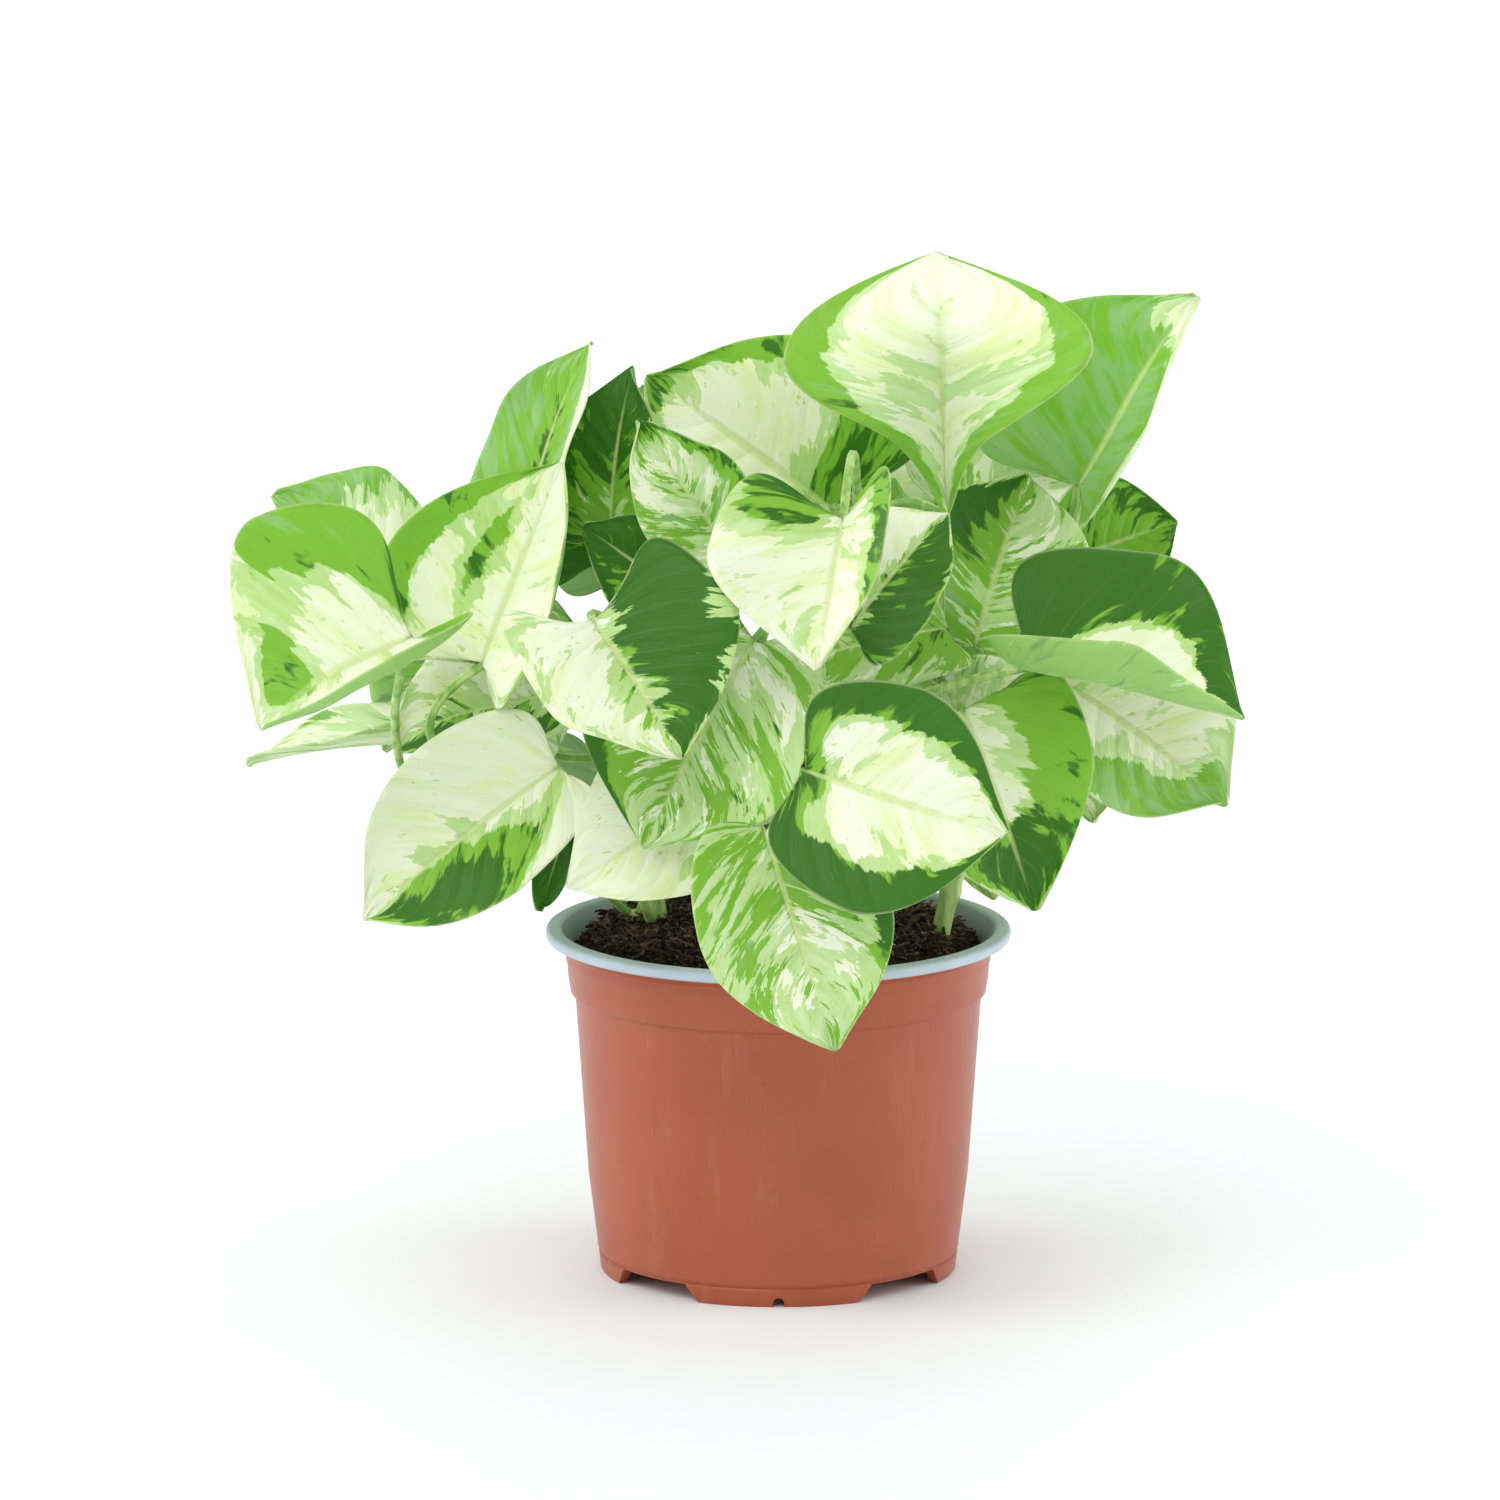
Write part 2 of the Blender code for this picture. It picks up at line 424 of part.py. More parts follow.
def make_pot(material, collection, cutters):
    pot = screw_object("pot", pot_profile(), material, collection)
    for k in range(FEET):
        middle = math.radians(360 / FEET * (k + 0.5) - 90)
        block = bmesh.new()
        bmesh.ops.create_cube(block, size=1)
        reach = 20.0
        opening = 2 * BODY_FOOT_RADIUS * math.sin(math.radians(NOTCH_ANGLE / 2))
        for vert in block.verts:
            widen = 1.12 if vert.co.z < 0 else 0.82
            vert.co.x = BODY_FOOT_RADIUS + vert.co.x * reach
            vert.co.y *= opening * widen
            vert.co.z = (vert.co.z + 0.5) * (BASE_HEIGHT + 0.6) - 1.0
        bmesh.ops.rotate(block, verts=block.verts, cent=(0, 0, 0),
                         matrix=Vector((1, 0, 0)).rotation_difference(
                             Vector((math.cos(middle), math.sin(middle), 0))).to_matrix())
        bmesh.ops.scale(block, verts=block.verts, vec=(MM, MM, MM))
        data = bpy.data.meshes.new(f"notch_{k}")
        block.to_mesh(data)
        block.free()
        cut(pot, bpy.data.objects.new(f"notch_{k}", data), cutters)
    slot = bmesh.new()
    bmesh.ops.create_cone(slot, cap_ends=True, segments=12, radius1=SLOT_WIDTH / 2, radius2=SLOT_WIDTH / 2,
                          depth=2 * FOOT_WIDTH + 4)
    bmesh.ops.rotate(slot, verts=slot.verts, cent=(0, 0, 0), matrix=Matrix.Rotation(math.pi / 2, 3, "X"))
    for vert in slot.verts:
        vert.co.y -= BODY_FOOT_RADIUS - FOOT_WIDTH / 2
        vert.co.z = vert.co.z + SLOT_HEIGHT - SLOT_WIDTH / 2 if vert.co.z > 0 else -1.0
    bmesh.ops.scale(slot, verts=slot.verts, vec=(MM, MM, MM))
    data = bpy.data.meshes.new("front_slot")
    slot.to_mesh(data)
    slot.free()
    cut(pot, bpy.data.objects.new("front_slot", data), cutters)
    for k in range(DRAIN_HOLES):
        angle = 2 * math.pi * k / DRAIN_HOLES
        drill = bmesh.new()
        bmesh.ops.create_cone(drill, cap_ends=True, segments=12, radius1=DRAIN_HOLE_RADIUS * MM,
                              radius2=DRAIN_HOLE_RADIUS * MM, depth=4 * WALL * MM)
        place = Vector((DRAIN_CIRCLE * math.cos(angle), DRAIN_CIRCLE * math.sin(angle),
                        BASE_HEIGHT + WALL / 2))
        bmesh.ops.translate(drill, verts=drill.verts, vec=place * MM)
        data = bpy.data.meshes.new(f"drain_{k}")
        drill.to_mesh(data)
        drill.free()
        cut(pot, bpy.data.objects.new(f"drain_{k}", data), cutters)
    return pot


def soil_profile():
    """The compost fills the pot with a small gap to its wall and rises to a low crown."""
    side = [
        (BODY_TOP_RADIUS - 0.7 - WALL - GAP, SOIL_EDGE), (BODY_TOP_RADIUS - 0.7 - WALL - GAP, STEP_HEIGHT + 5.5),
        (STEP_RADIUS + 0.6 - WALL - GAP, STEP_HEIGHT + 1.5),
        (STEP_RADIUS - WALL - GAP - 0.2, STEP_HEIGHT - 1.0),
        (BODY_FOOT_RADIUS - WALL - GAP - 0.3, BASE_HEIGHT + 4.0),
        (BODY_FOOT_RADIUS - 3.5, SOIL_BOTTOM), (0.0, SOIL_BOTTOM),
    ]
    crown = [(0.0, SOIL_EDGE + SOIL_CROWN), (16.0, SOIL_EDGE + SOIL_CROWN - 0.2),
             (32.0, SOIL_EDGE + SOIL_CROWN - 1.6), (44.0, SOIL_EDGE + 0.5 * SOIL_CROWN)]
    return crown + side


def make_soil(material, collection, cutters):
    soil = screw_object("soil", soil_profile(), material, collection, steps=24)
    for name, points in STEMS.items():
        path = smooth_path(points, 4)
        path[0] = path[0] - np.array((0, 0, GAP + 0.2))
        mesh = tube_mesh("socket_" + name, path, STEM_RADIUS + GAP)
        cut(soil, bpy.data.objects.new("socket_" + name, mesh), cutters)
    return soil


def centre_on_floor(collections):
    """Shift everything sideways so that the middle of the plant's bounding box stands over the origin."""
    spread = [vert.co for thing in collections[0].objects for vert in thing.data.vertices]
    for axis in (0, 1):
        middle = (min(p[axis] for p in spread) + max(p[axis] for p in spread)) / 2
        for collection in collections:
            for thing in collection.objects:
                thing.location[axis] -= middle


def main():
    for old in list(bpy.data.objects):
        bpy.data.objects.remove(old)
    plant = bpy.data.collections.new("potted_pothos")
    cutters = bpy.data.collections.new("cutters")
    for collection in (plant, cutters):
        bpy.context.scene.collection.children.link(collection)

    terracotta = new_material("terracotta_plastic", (0.42, 0.11, 0.055), 0.45)
    compost = new_material("compost", (0.035, 0.02, 0.012), 0.95)
    green_stem = new_material("green_stem", (0.30, 0.45, 0.10), 0.5)
    leaf_green = new_material("variegated_leaf", (0.45, 0.62, 0.22), 0.4)

    make_pot(terracotta, plant, cutters)
    make_soil(compost, plant, cutters)
    for name, points in STEMS.items():
        new_object(name, tube_mesh(name, smooth_path(points, 4), STEM_RADIUS), green_stem, plant)
    for name, leaf in LEAVES.items():
        make_leaf(name, {**LEAF_DEFAULTS, **leaf}, leaf_green, plant)
    centre_on_floor((plant, cutters))


main()
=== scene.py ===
"""The looks of a variegated pothos in a 12 cm nursery pot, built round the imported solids.

Lengths in the tables are millimetres from the pot's own axis, angles are degrees, and -Y is the front.
"""

import math

import bmesh
import bpy
import numpy as np
from mathutils import Matrix, Vector, noise


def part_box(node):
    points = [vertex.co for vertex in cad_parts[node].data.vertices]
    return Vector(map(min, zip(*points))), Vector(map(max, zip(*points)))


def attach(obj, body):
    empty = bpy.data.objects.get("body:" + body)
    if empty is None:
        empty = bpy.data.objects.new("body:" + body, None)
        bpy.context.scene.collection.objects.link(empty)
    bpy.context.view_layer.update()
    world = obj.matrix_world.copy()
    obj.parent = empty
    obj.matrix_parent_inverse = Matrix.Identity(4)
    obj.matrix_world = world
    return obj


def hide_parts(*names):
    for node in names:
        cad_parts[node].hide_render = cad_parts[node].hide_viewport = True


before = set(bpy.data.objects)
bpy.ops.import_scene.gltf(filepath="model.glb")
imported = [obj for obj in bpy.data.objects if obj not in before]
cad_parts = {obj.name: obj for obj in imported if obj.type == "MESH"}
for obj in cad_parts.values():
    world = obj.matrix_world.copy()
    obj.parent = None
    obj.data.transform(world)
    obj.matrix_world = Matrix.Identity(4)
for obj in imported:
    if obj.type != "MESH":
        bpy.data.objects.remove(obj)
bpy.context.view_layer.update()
MM = 0.001
pot_low, pot_high = (Vector(corner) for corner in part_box("pot"))
POT_AXIS = Vector(((pot_low.x + pot_high.x) / 2, (pot_low.y + pot_high.y) / 2, 0))

# ---- the pot -----------------------------------------------------------------------------------
# A thin nursery pot, formed in two layers: terracotta-coloured polypropylene outside and a grey-blue
# one inside that shows all round the rolled rim. Four feet are left between notches in the foot ring.

RIM_RADIUS = (pot_high.x - pot_low.x) / 2 / MM
POT_HEIGHT = (pot_high.z - pot_low.z) / MM
BODY_TOP_RADIUS = 0.9133 * RIM_RADIUS
STEP_RADIUS = 0.8733 * RIM_RADIUS
STEP_HEIGHT = 0.811 * POT_HEIGHT
BODY_FOOT_RADIUS = 0.78 * RIM_RADIUS
BASE_HEIGHT = 5.0
WALL = 1.0
FOOT_WIDTH = 3.0
LIP_RADIUS = 1.2
FEET = 4
NOTCH_ANGLE, NOTCH_DEPTH = 34.0, 20.0
NOTCH_SPREAD_LOW, NOTCH_SPREAD_HIGH = 1.12, 0.82
DRAIN_HOLES, DRAIN_HOLE_RADIUS, DRAIN_CIRCLE = 6, 4.0, 28.0
SLOT_WIDTH, SLOT_HEIGHT = 3.0, 2.5
POT_SEGMENTS, CUTTER_SEGMENTS = 144, 24
SHARP_ANGLE = 40.0


def arc(centre, radius, start, stop, steps):
    """Points (r, z) of an arc from one angle to another, both ends included."""
    turns = [math.radians(start + (stop - start) * k / steps) for k in range(steps + 1)]
    return [(centre[0] + radius * math.cos(a), centre[1] + radius * math.sin(a)) for a in turns]


def add_socket(group, name, kind, into="INPUT", value=None):
    """A socket on the outside of a node group, with the value it has when nothing is given."""
    socket = group.interface.new_socket(name=name, in_out=into, socket_type="NodeSocket" + kind)
    if value is not None:
        socket.default_value = value


def new_node(tree, kind, settings=(), **inputs):
    """A node with its settings and its inputs filled in: an input takes a value or another node's output."""
    made = tree.nodes.new(kind)
    for key, value in dict(settings).items():
        setattr(made, key, value)
    for key, value in inputs.items():
        numbered = key.startswith("in") and key[2:].isdigit()
        socket = made.inputs[int(key[2:]) if numbered else key.replace("_", " ")]
        if isinstance(value, bpy.types.NodeSocket):
            tree.links.new(value, socket)
        else:
            socket.default_value = value
    return made


def maths(tree, operation, *values, clamp=False):
    """The result of a Math node whose inputs are values or outputs."""
    inputs = {f"in{k}": value for k, value in enumerate(values)}
    return new_node(tree, "ShaderNodeMath", dict(operation=operation, use_clamp=clamp), **inputs).outputs[0]


def times(tree, first, second):
    """The product of two values or outputs."""
    return maths(tree, "MULTIPLY", first, second)


def plus(tree, first, second, clamp=False):
    """The sum of two values or outputs."""
    return maths(tree, "ADD", first, second, clamp=clamp)


def ramp(tree, factor, low, high):
    """0 below low, 1 above high and a smooth step between."""
    step = new_node(tree, "ShaderNodeMapRange", dict(interpolation_type="SMOOTHSTEP"), Value=factor)
    step.inputs["From Min"].default_value = low
    step.inputs["From Max"].default_value = high
    return step.outputs["Result"]


def blend(tree, factor, first, second):
    """A colour between two colours."""
    mix = tree.nodes.new("ShaderNodeMix")
    mix.data_type = "RGBA"
    for socket, value in ((mix.inputs[0], factor), (mix.inputs[6], first), (mix.inputs[7], second)):
        if isinstance(value, bpy.types.NodeSocket):
            tree.links.new(value, socket)
        else:
            socket.default_value = value if isinstance(value, float) else (*value, 1)
    return mix.outputs[2]


def new_material(name):
    """A material, its node tree and its Principled shader."""
    material = bpy.data.materials.new(name)
    material.use_nodes = True
    return material, material.node_tree, material.node_tree.nodes["Principled BSDF"]


def finish_piece(name, mesh, nodes):
    """Put a mesh in the scene, on the pot's axis, as a finished piece that stands for these solids."""
    mesh.transform(Matrix.Translation(POT_AXIS))
    piece = bpy.data.objects.new(name, mesh)
    bpy.context.scene.collection.objects.link(piece)
    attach(piece, "root")
    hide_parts(*nodes)


# Rubbing and dust that any hard moulded surface shows: fine scuffs, a few specks and a slight unevenness.
handling = bpy.data.node_groups.new("handling_marks", "ShaderNodeTree")
for socket_name, socket_value in (("Speck Size", 900.0), ("Scuff Size", 160.0), ("Amount", 1.0)):
    add_socket(handling, socket_name, "Float", value=socket_value)
for socket_name in ("Specks", "Scuffs", "Cloud", "Height"):
    add_socket(handling, socket_name, "Float", into="OUTPUT")
group_in, group_out = handling.nodes.new("NodeGroupInput"), handling.nodes.new("NodeGroupOutput")
place = new_node(handling, "ShaderNodeTexCoord").outputs["Object"]
speck_cells = new_node(handling, "ShaderNodeTexVoronoi", dict(feature="F1"), Vector=place,
                       Scale=group_in.outputs["Speck Size"], Randomness=1.0)
speck_pick = new_node(handling, "ShaderNodeSeparateColor", Color=speck_cells.outputs["Color"])
speck = times(handling, ramp(handling, speck_cells.outputs["Distance"], 0.22, 0.1),
              maths(handling, "GREATER_THAN", speck_pick.outputs["Red"], 0.985))
stretch = new_node(handling, "ShaderNodeMapping", Vector=place, Scale=(1.0, 1.0, 0.12))
scuff_noise = new_node(handling, "ShaderNodeTexNoise", Vector=stretch.outputs[0],
                       Scale=group_in.outputs["Scuff Size"], Detail=6.0, Roughness=0.7)
cloud_noise = new_node(handling, "ShaderNodeTexNoise", Vector=place, Scale=38.0, Detail=3.0)
grain_noise = new_node(handling, "ShaderNodeTexNoise", Vector=place, Scale=1400.0, Detail=2.0)
for output_name, value in (
    ("Specks", times(handling, speck, group_in.outputs["Amount"])),
    ("Scuffs", times(handling, ramp(handling, scuff_noise.outputs[0], 0.52, 0.78),
                     group_in.outputs["Amount"])),
    ("Cloud", cloud_noise.outputs[0]),
    ("Height", plus(handling, times(handling, grain_noise.outputs[0], 0.35),
                     times(handling, scuff_noise.outputs[0], 0.5))),
):
    handling.links.new(value, group_out.inputs[output_name])


def plastic(name, colour, shadow, rough):
    """Satin polypropylene: a colour that wanders a little, pale scuffs, dark specks and a fine grain."""
    material, tree, shader = new_material(name)
    marks = new_node(tree, "ShaderNodeGroup", dict(node_tree=handling))
    base = blend(tree, ramp(tree, marks.outputs["Cloud"], 0.3, 0.75), shadow, colour)
    base = blend(tree, times(tree, marks.outputs["Scuffs"], 0.07), base, (0.85, 0.72, 0.66))
    base = blend(tree, times(tree, marks.outputs["Specks"], 0.8), base, (0.03, 0.02, 0.015))
    tree.links.new(base, shader.inputs["Base Color"])
    tree.links.new(plus(tree, rough, times(tree, marks.outputs["Scuffs"], 0.14)),
                   shader.inputs["Roughness"])
    relief = new_node(tree, "ShaderNodeBump", Height=marks.outputs["Height"], Strength=0.06, Distance=0.001)
    tree.links.new(relief.outputs[0], shader.inputs["Normal"])
    return material


terracotta = plastic("terracotta_plastic", (0.40, 0.086, 0.031), (0.355, 0.072, 0.024), 0.36)
liner = plastic("grey_blue_liner", (0.50, 0.59, 0.66), (0.43, 0.52, 0.585), 0.42)

lip_outside = [
    (STEP_RADIUS + 1.2 - WALL, STEP_HEIGHT + 0.8), (BODY_TOP_RADIUS - 0.5 - WALL, POT_HEIGHT - 12.0),
    (BODY_TOP_RADIUS - WALL, POT_HEIGHT - 5.4), (RIM_RADIUS - 4.5, POT_HEIGHT - 1.3),
    *arc((RIM_RADIUS - 3.2, POT_HEIGHT - LIP_RADIUS), LIP_RADIUS, 165, 85, 6),
    *arc((RIM_RADIUS - LIP_RADIUS, POT_HEIGHT - LIP_RADIUS - 0.1), LIP_RADIUS, 75, 0, 6),
    *arc((RIM_RADIUS - 0.75, POT_HEIGHT - 2.3), 0.6, 0, -70, 4),
]
collar_and_body = [
    (RIM_RADIUS - 1.0, POT_HEIGHT - 3.1), (RIM_RADIUS - 2.9, POT_HEIGHT - 4.2),
    *arc((BODY_TOP_RADIUS + 1.6, POT_HEIGHT - 6.2), 1.6, 115, 180, 5),
    (BODY_TOP_RADIUS - 0.05, POT_HEIGHT - 8.4), (BODY_TOP_RADIUS - 0.15, POT_HEIGHT - 8.7),
    (BODY_TOP_RADIUS - 0.35, POT_HEIGHT - 9.1), (BODY_TOP_RADIUS - 0.6, POT_HEIGHT - 13.0),
    (STEP_RADIUS + 1.25, STEP_HEIGHT + 1.0), *arc((STEP_RADIUS + 0.75, STEP_HEIGHT + 0.7), 0.5, 0, -70, 3),
    *arc((STEP_RADIUS + 0.4, STEP_HEIGHT - 0.3), 0.4, 110, 180, 3),
    (STEP_RADIUS - 1.6, STEP_HEIGHT * 0.68), (STEP_RADIUS - 3.3, STEP_HEIGHT * 0.35),
    (BODY_FOOT_RADIUS + 0.05, BASE_HEIGHT + 2.4),
    *arc((BODY_FOOT_RADIUS - 1.4, BASE_HEIGHT + 1.4), 1.4, 10, -45, 4),
    (BODY_FOOT_RADIUS - 0.75, BASE_HEIGHT - 0.2), (BODY_FOOT_RADIUS - 0.35, BASE_HEIGHT - 0.7),
    (BODY_FOOT_RADIUS - 0.8, 0.5), (BODY_FOOT_RADIUS - 1.2, 0.0),
    (BODY_FOOT_RADIUS - 0.8 - FOOT_WIDTH, 0.0), (BODY_FOOT_RADIUS - 1.2 - FOOT_WIDTH, BASE_HEIGHT),
    (0.0, BASE_HEIGHT),
]
inside = [(0.0, BASE_HEIGHT + WALL), (BODY_FOOT_RADIUS - 2.0, BASE_HEIGHT + WALL),
          (BODY_FOOT_RADIUS - WALL, BASE_HEIGHT + 3.0), (STEP_RADIUS - WALL, STEP_HEIGHT - 0.5)]
outline = collar_and_body + inside + lip_outside
liner_from = len(collar_and_body)


def circle_row(work, radius, height, segments):
    """A level ring of corners, mm, added to a working mesh."""
    return [work.verts.new((radius * MM * math.cos(math.tau * k / segments),
                            radius * MM * math.sin(math.tau * k / segments), height * MM))
            for k in range(segments)]


def turned(outline, segments, shade):
    """A closed solid of revolution about Z; shade gives the material number of each row of faces."""
    shell = bmesh.new()
    rows = []
    for radius, height in outline:
        if radius > 0:
            rows.append(circle_row(shell, radius, height, segments))
        else:
            rows.append([shell.verts.new((0, 0, height * MM))] * segments)
    for row in range(len(rows)):
        near, far = rows[row], rows[(row + 1) % len(rows)]
        for k in range(segments):
            corners = [near[k], near[(k + 1) % segments], far[(k + 1) % segments], far[k]]
            corners = list(dict.fromkeys(corners))
            if len(corners) > 2:
                face = shell.faces.new(corners)
                face.smooth = True
                face.material_index = shade(row)
    bmesh.ops.recalc_face_normals(shell, faces=shell.faces)
    return shell


def as_object(name, work):
    """A working mesh put in the scene as an object."""
    data = bpy.data.meshes.new(name)
    work.to_mesh(data)
    work.free()
    made = bpy.data.objects.new(name, data)
    bpy.context.scene.collection.objects.link(made)
    return made


def settled(thing):
    """The evaluated mesh of an object, which is then removed with its modifiers."""
    bpy.context.view_layer.update()
    mesh = bpy.data.meshes.new_from_object(thing.evaluated_get(bpy.context.evaluated_depsgraph_get()))
    bpy.data.objects.remove(thing)
    return mesh


pot_work = turned(outline, POT_SEGMENTS, lambda row: 1 if row >= liner_from - 1 else 0)
pot_blank = as_object("pot_blank", pot_work)
pot_blank.data.materials.append(terracotta)
pot_blank.data.materials.append(liner)
cutters = []
for k in range(FEET):
    block = bmesh.new()
    bmesh.ops.create_cube(block, size=1)
    opening = 2 * BODY_FOOT_RADIUS * math.sin(math.radians(NOTCH_ANGLE / 2))
    for vert in block.verts:
        spread = NOTCH_SPREAD_LOW if vert.co.z < 0 else NOTCH_SPREAD_HIGH
        vert.co = Vector((BODY_FOOT_RADIUS + vert.co.x * NOTCH_DEPTH, vert.co.y * opening * spread,
                          (vert.co.z + 0.5) * (BASE_HEIGHT + 0.6) - 1.0)) * MM
    bmesh.ops.rotate(block, verts=block.verts, cent=(0, 0, 0),
                     matrix=Matrix.Rotation(math.tau / FEET * (k + 0.5), 3, "Z"))
    cutters.append(as_object(f"notch_{k}", block))
for k in range(DRAIN_HOLES):
    drill = bmesh.new()
    bmesh.ops.create_cone(drill, cap_ends=True, segments=CUTTER_SEGMENTS, depth=4 * WALL * MM,
                          radius1=DRAIN_HOLE_RADIUS * MM, radius2=DRAIN_HOLE_RADIUS * MM)
    angle = math.tau * k / DRAIN_HOLES
    bmesh.ops.translate(drill, verts=drill.verts, vec=Vector((
        DRAIN_CIRCLE * math.cos(angle), DRAIN_CIRCLE * math.sin(angle), BASE_HEIGHT + WALL / 2)) * MM)
    cutters.append(as_object(f"drain_{k}", drill))
slot = bmesh.new()
bmesh.ops.create_cone(slot, cap_ends=True, segments=CUTTER_SEGMENTS, depth=2 * FOOT_WIDTH + 4,
                      radius1=SLOT_WIDTH / 2, radius2=SLOT_WIDTH / 2)
bmesh.ops.rotate(slot, verts=slot.verts, cent=(0, 0, 0), matrix=Matrix.Rotation(math.pi / 2, 3, "X"))
for vert in slot.verts:
    raised = vert.co.z + SLOT_HEIGHT - SLOT_WIDTH / 2 if vert.co.z > -0.01 else -1.0
    vert.co = Vector((vert.co.x, vert.co.y - BODY_FOOT_RADIUS + FOOT_WIDTH / 2, raised)) * MM
cutters.append(as_object("front_slot", slot))
for cutter in cutters:
    bite = pot_blank.modifiers.new(cutter.name, "BOOLEAN")
    bite.operation, bite.object, bite.solver = "DIFFERENCE", cutter, "EXACT"
pot_mesh = settled(pot_blank)
for cutter in cutters:
    bpy.data.objects.remove(cutter)
for polygon in pot_mesh.polygons:
    polygon.use_smooth = True
pot_mesh.set_sharp_from_angle(angle=math.radians(SHARP_ANGLE))
finish_piece("nursery_pot", pot_mesh, ["pot"])

# ---- the compost -------------------------------------------------------------------------------
# Damp peat with coarse bark fibre and a few white grains of perlite, pressed round the cuttings and
# heaped a little towards the middle. The bits lie loose on top and keep clear of the pot's wall.

SOIL_EDGE = 85.0
SOIL_CROWN = 9.0
SOIL_RADIUS = BODY_TOP_RADIUS - 0.7 - WALL - 0.4
SOIL_RINGS, SOIL_SPOKES = 30, 96
FIBRES, CRUMBS, GRAINS = 2400, 2600, 26


def soil_material(name, dark, light, fleck, rough):
    """Peat: near black where damp, brown where it has dried, with a coarse crumb as bump."""
    material, tree, shader = new_material(name)
    at = new_node(tree, "ShaderNodeTexCoord").outputs["Object"]
    patch = new_node(tree, "ShaderNodeTexNoise", Vector=at, Scale=90.0, Detail=5.0, Roughness=0.65)
    crumb = new_node(tree, "ShaderNodeTexVoronoi", dict(feature="F1"), Vector=at, Scale=650.0)
    fine = new_node(tree, "ShaderNodeTexNoise", Vector=at, Scale=1500.0, Detail=4.0)
    base = blend(tree, ramp(tree, patch.outputs[0], 0.38, 0.7), dark, light)
    base = blend(tree, ramp(tree, fine.outputs[0], 0.62, 0.8), base, fleck)
    tree.links.new(base, shader.inputs["Base Color"])
    shader.inputs["Roughness"].default_value = rough
    shader.inputs["Specular IOR Level"].default_value = 0.25
    height = plus(tree, crumb.outputs["Distance"], fine.outputs[0])
    relief = new_node(tree, "ShaderNodeBump", Height=height, Strength=0.7, Distance=0.0008)
    tree.links.new(relief.outputs[0], shader.inputs["Normal"])
    return material


peat = soil_material("damp_peat", (0.012, 0.007, 0.004), (0.045, 0.026, 0.015), (0.10, 0.06, 0.035), 0.92)
bark_fibre = soil_material(
    "bark_fibre", (0.055, 0.032, 0.018), (0.20, 0.125, 0.07), (0.32, 0.22, 0.13), 0.85)
perlite = soil_material("perlite", (0.62, 0.60, 0.54), (0.80, 0.79, 0.74), (0.85, 0.84, 0.80), 0.8)


def soil_height(x, y):
    """Height of the compost at a place, mm: a low heap with lumps."""
    away = min(math.hypot(x, y) / SOIL_RADIUS, 1.0)
    heap = SOIL_EDGE + SOIL_CROWN * (1 - away ** 4) - 1.0 * away ** 8
    swells = noise.noise(Vector((x * 0.09, y * 0.09, 3.7))) * 1.6
    clods = noise.noise(Vector((x * 0.3, y * 0.3, 9.1))) * 0.9
    return heap + (swells + clods) * (1 - away ** 8)


soil_work = bmesh.new()
centre = soil_work.verts.new((0, 0, soil_height(0, 0) * MM))
rows = []
for ring in range(1, SOIL_RINGS + 1):
    reach = SOIL_RADIUS * ring / SOIL_RINGS
    rows.append([])
    for k in range(SOIL_SPOKES):
        x, y = reach * math.cos(math.tau * k / SOIL_SPOKES), reach * math.sin(math.tau * k / SOIL_SPOKES)
        rows[-1].append(soil_work.verts.new((x * MM, y * MM, soil_height(x, y) * MM)))
skirt = [
    (SOIL_RADIUS, STEP_HEIGHT + 5.5), (STEP_RADIUS - WALL + 0.2, STEP_HEIGHT + 1.5),
    (STEP_RADIUS - WALL - 0.6, STEP_HEIGHT - 1.0), (BODY_FOOT_RADIUS - WALL - 0.7, BASE_HEIGHT + 4.0),
    (BODY_FOOT_RADIUS - 3.5, BASE_HEIGHT + WALL + 0.4),
]
for reach, height in skirt:
    rows.append(circle_row(soil_work, reach, height, SOIL_SPOKES))
for k in range(SOIL_SPOKES):
    soil_work.faces.new((centre, rows[0][k], rows[0][(k + 1) % SOIL_SPOKES]))
    for near, far in zip(rows, rows[1:]):
        soil_work.faces.new((near[k], far[k], far[(k + 1) % SOIL_SPOKES], near[(k + 1) % SOIL_SPOKES]))
soil_work.faces.new(rows[-1])
bmesh.ops.recalc_face_normals(soil_work, faces=soil_work.faces)
for face in soil_work.faces:
    face.smooth = True
soil_body = as_object("compost_body", soil_work)

# Spreads copies of one bit over the upward faces of the compost, turned and sized at random.
litter = bpy.data.node_groups.new("litter", "GeometryNodeTree")
add_socket(litter, "Geometry", "Geometry")
add_socket(litter, "Piece", "Object")
for socket_name, kind, socket_value in (
    ("Radius", "Float", SOIL_RADIUS * MM), ("Small", "Float", 0.5), ("Large", "Float", 1.6),
    ("Tilt", "Float", 0.5), ("Margin", "Float", 0.001), ("Count", "Int", 100), ("Seed", "Int", 1),
):
    add_socket(litter, socket_name, kind, value=socket_value)
add_socket(litter, "Finish", "Material")
add_socket(litter, "Geometry", "Geometry", into="OUTPUT")
given, made = litter.nodes.new("NodeGroupInput"), litter.nodes.new("NodeGroupOutput")
where = litter.nodes.new("GeometryNodeInputPosition")
facing = litter.nodes.new("GeometryNodeInputNormal")
split = new_node(litter, "ShaderNodeSeparateXYZ", Vector=facing.outputs[0])
upward = new_node(litter, "FunctionNodeCompare", dict(data_type="FLOAT", operation="GREATER_THAN"),
                  in0=split.outputs["Z"], in1=0.6)
level = new_node(litter, "ShaderNodeVectorMath", dict(operation="MULTIPLY"), in0=where.outputs[0],
                 in1=(1, 1, 0))
outward = new_node(litter, "ShaderNodeVectorMath", dict(operation="LENGTH"), in0=level.outputs[0])
clear = maths(litter, "SUBTRACT", given.outputs["Radius"], given.outputs["Margin"])
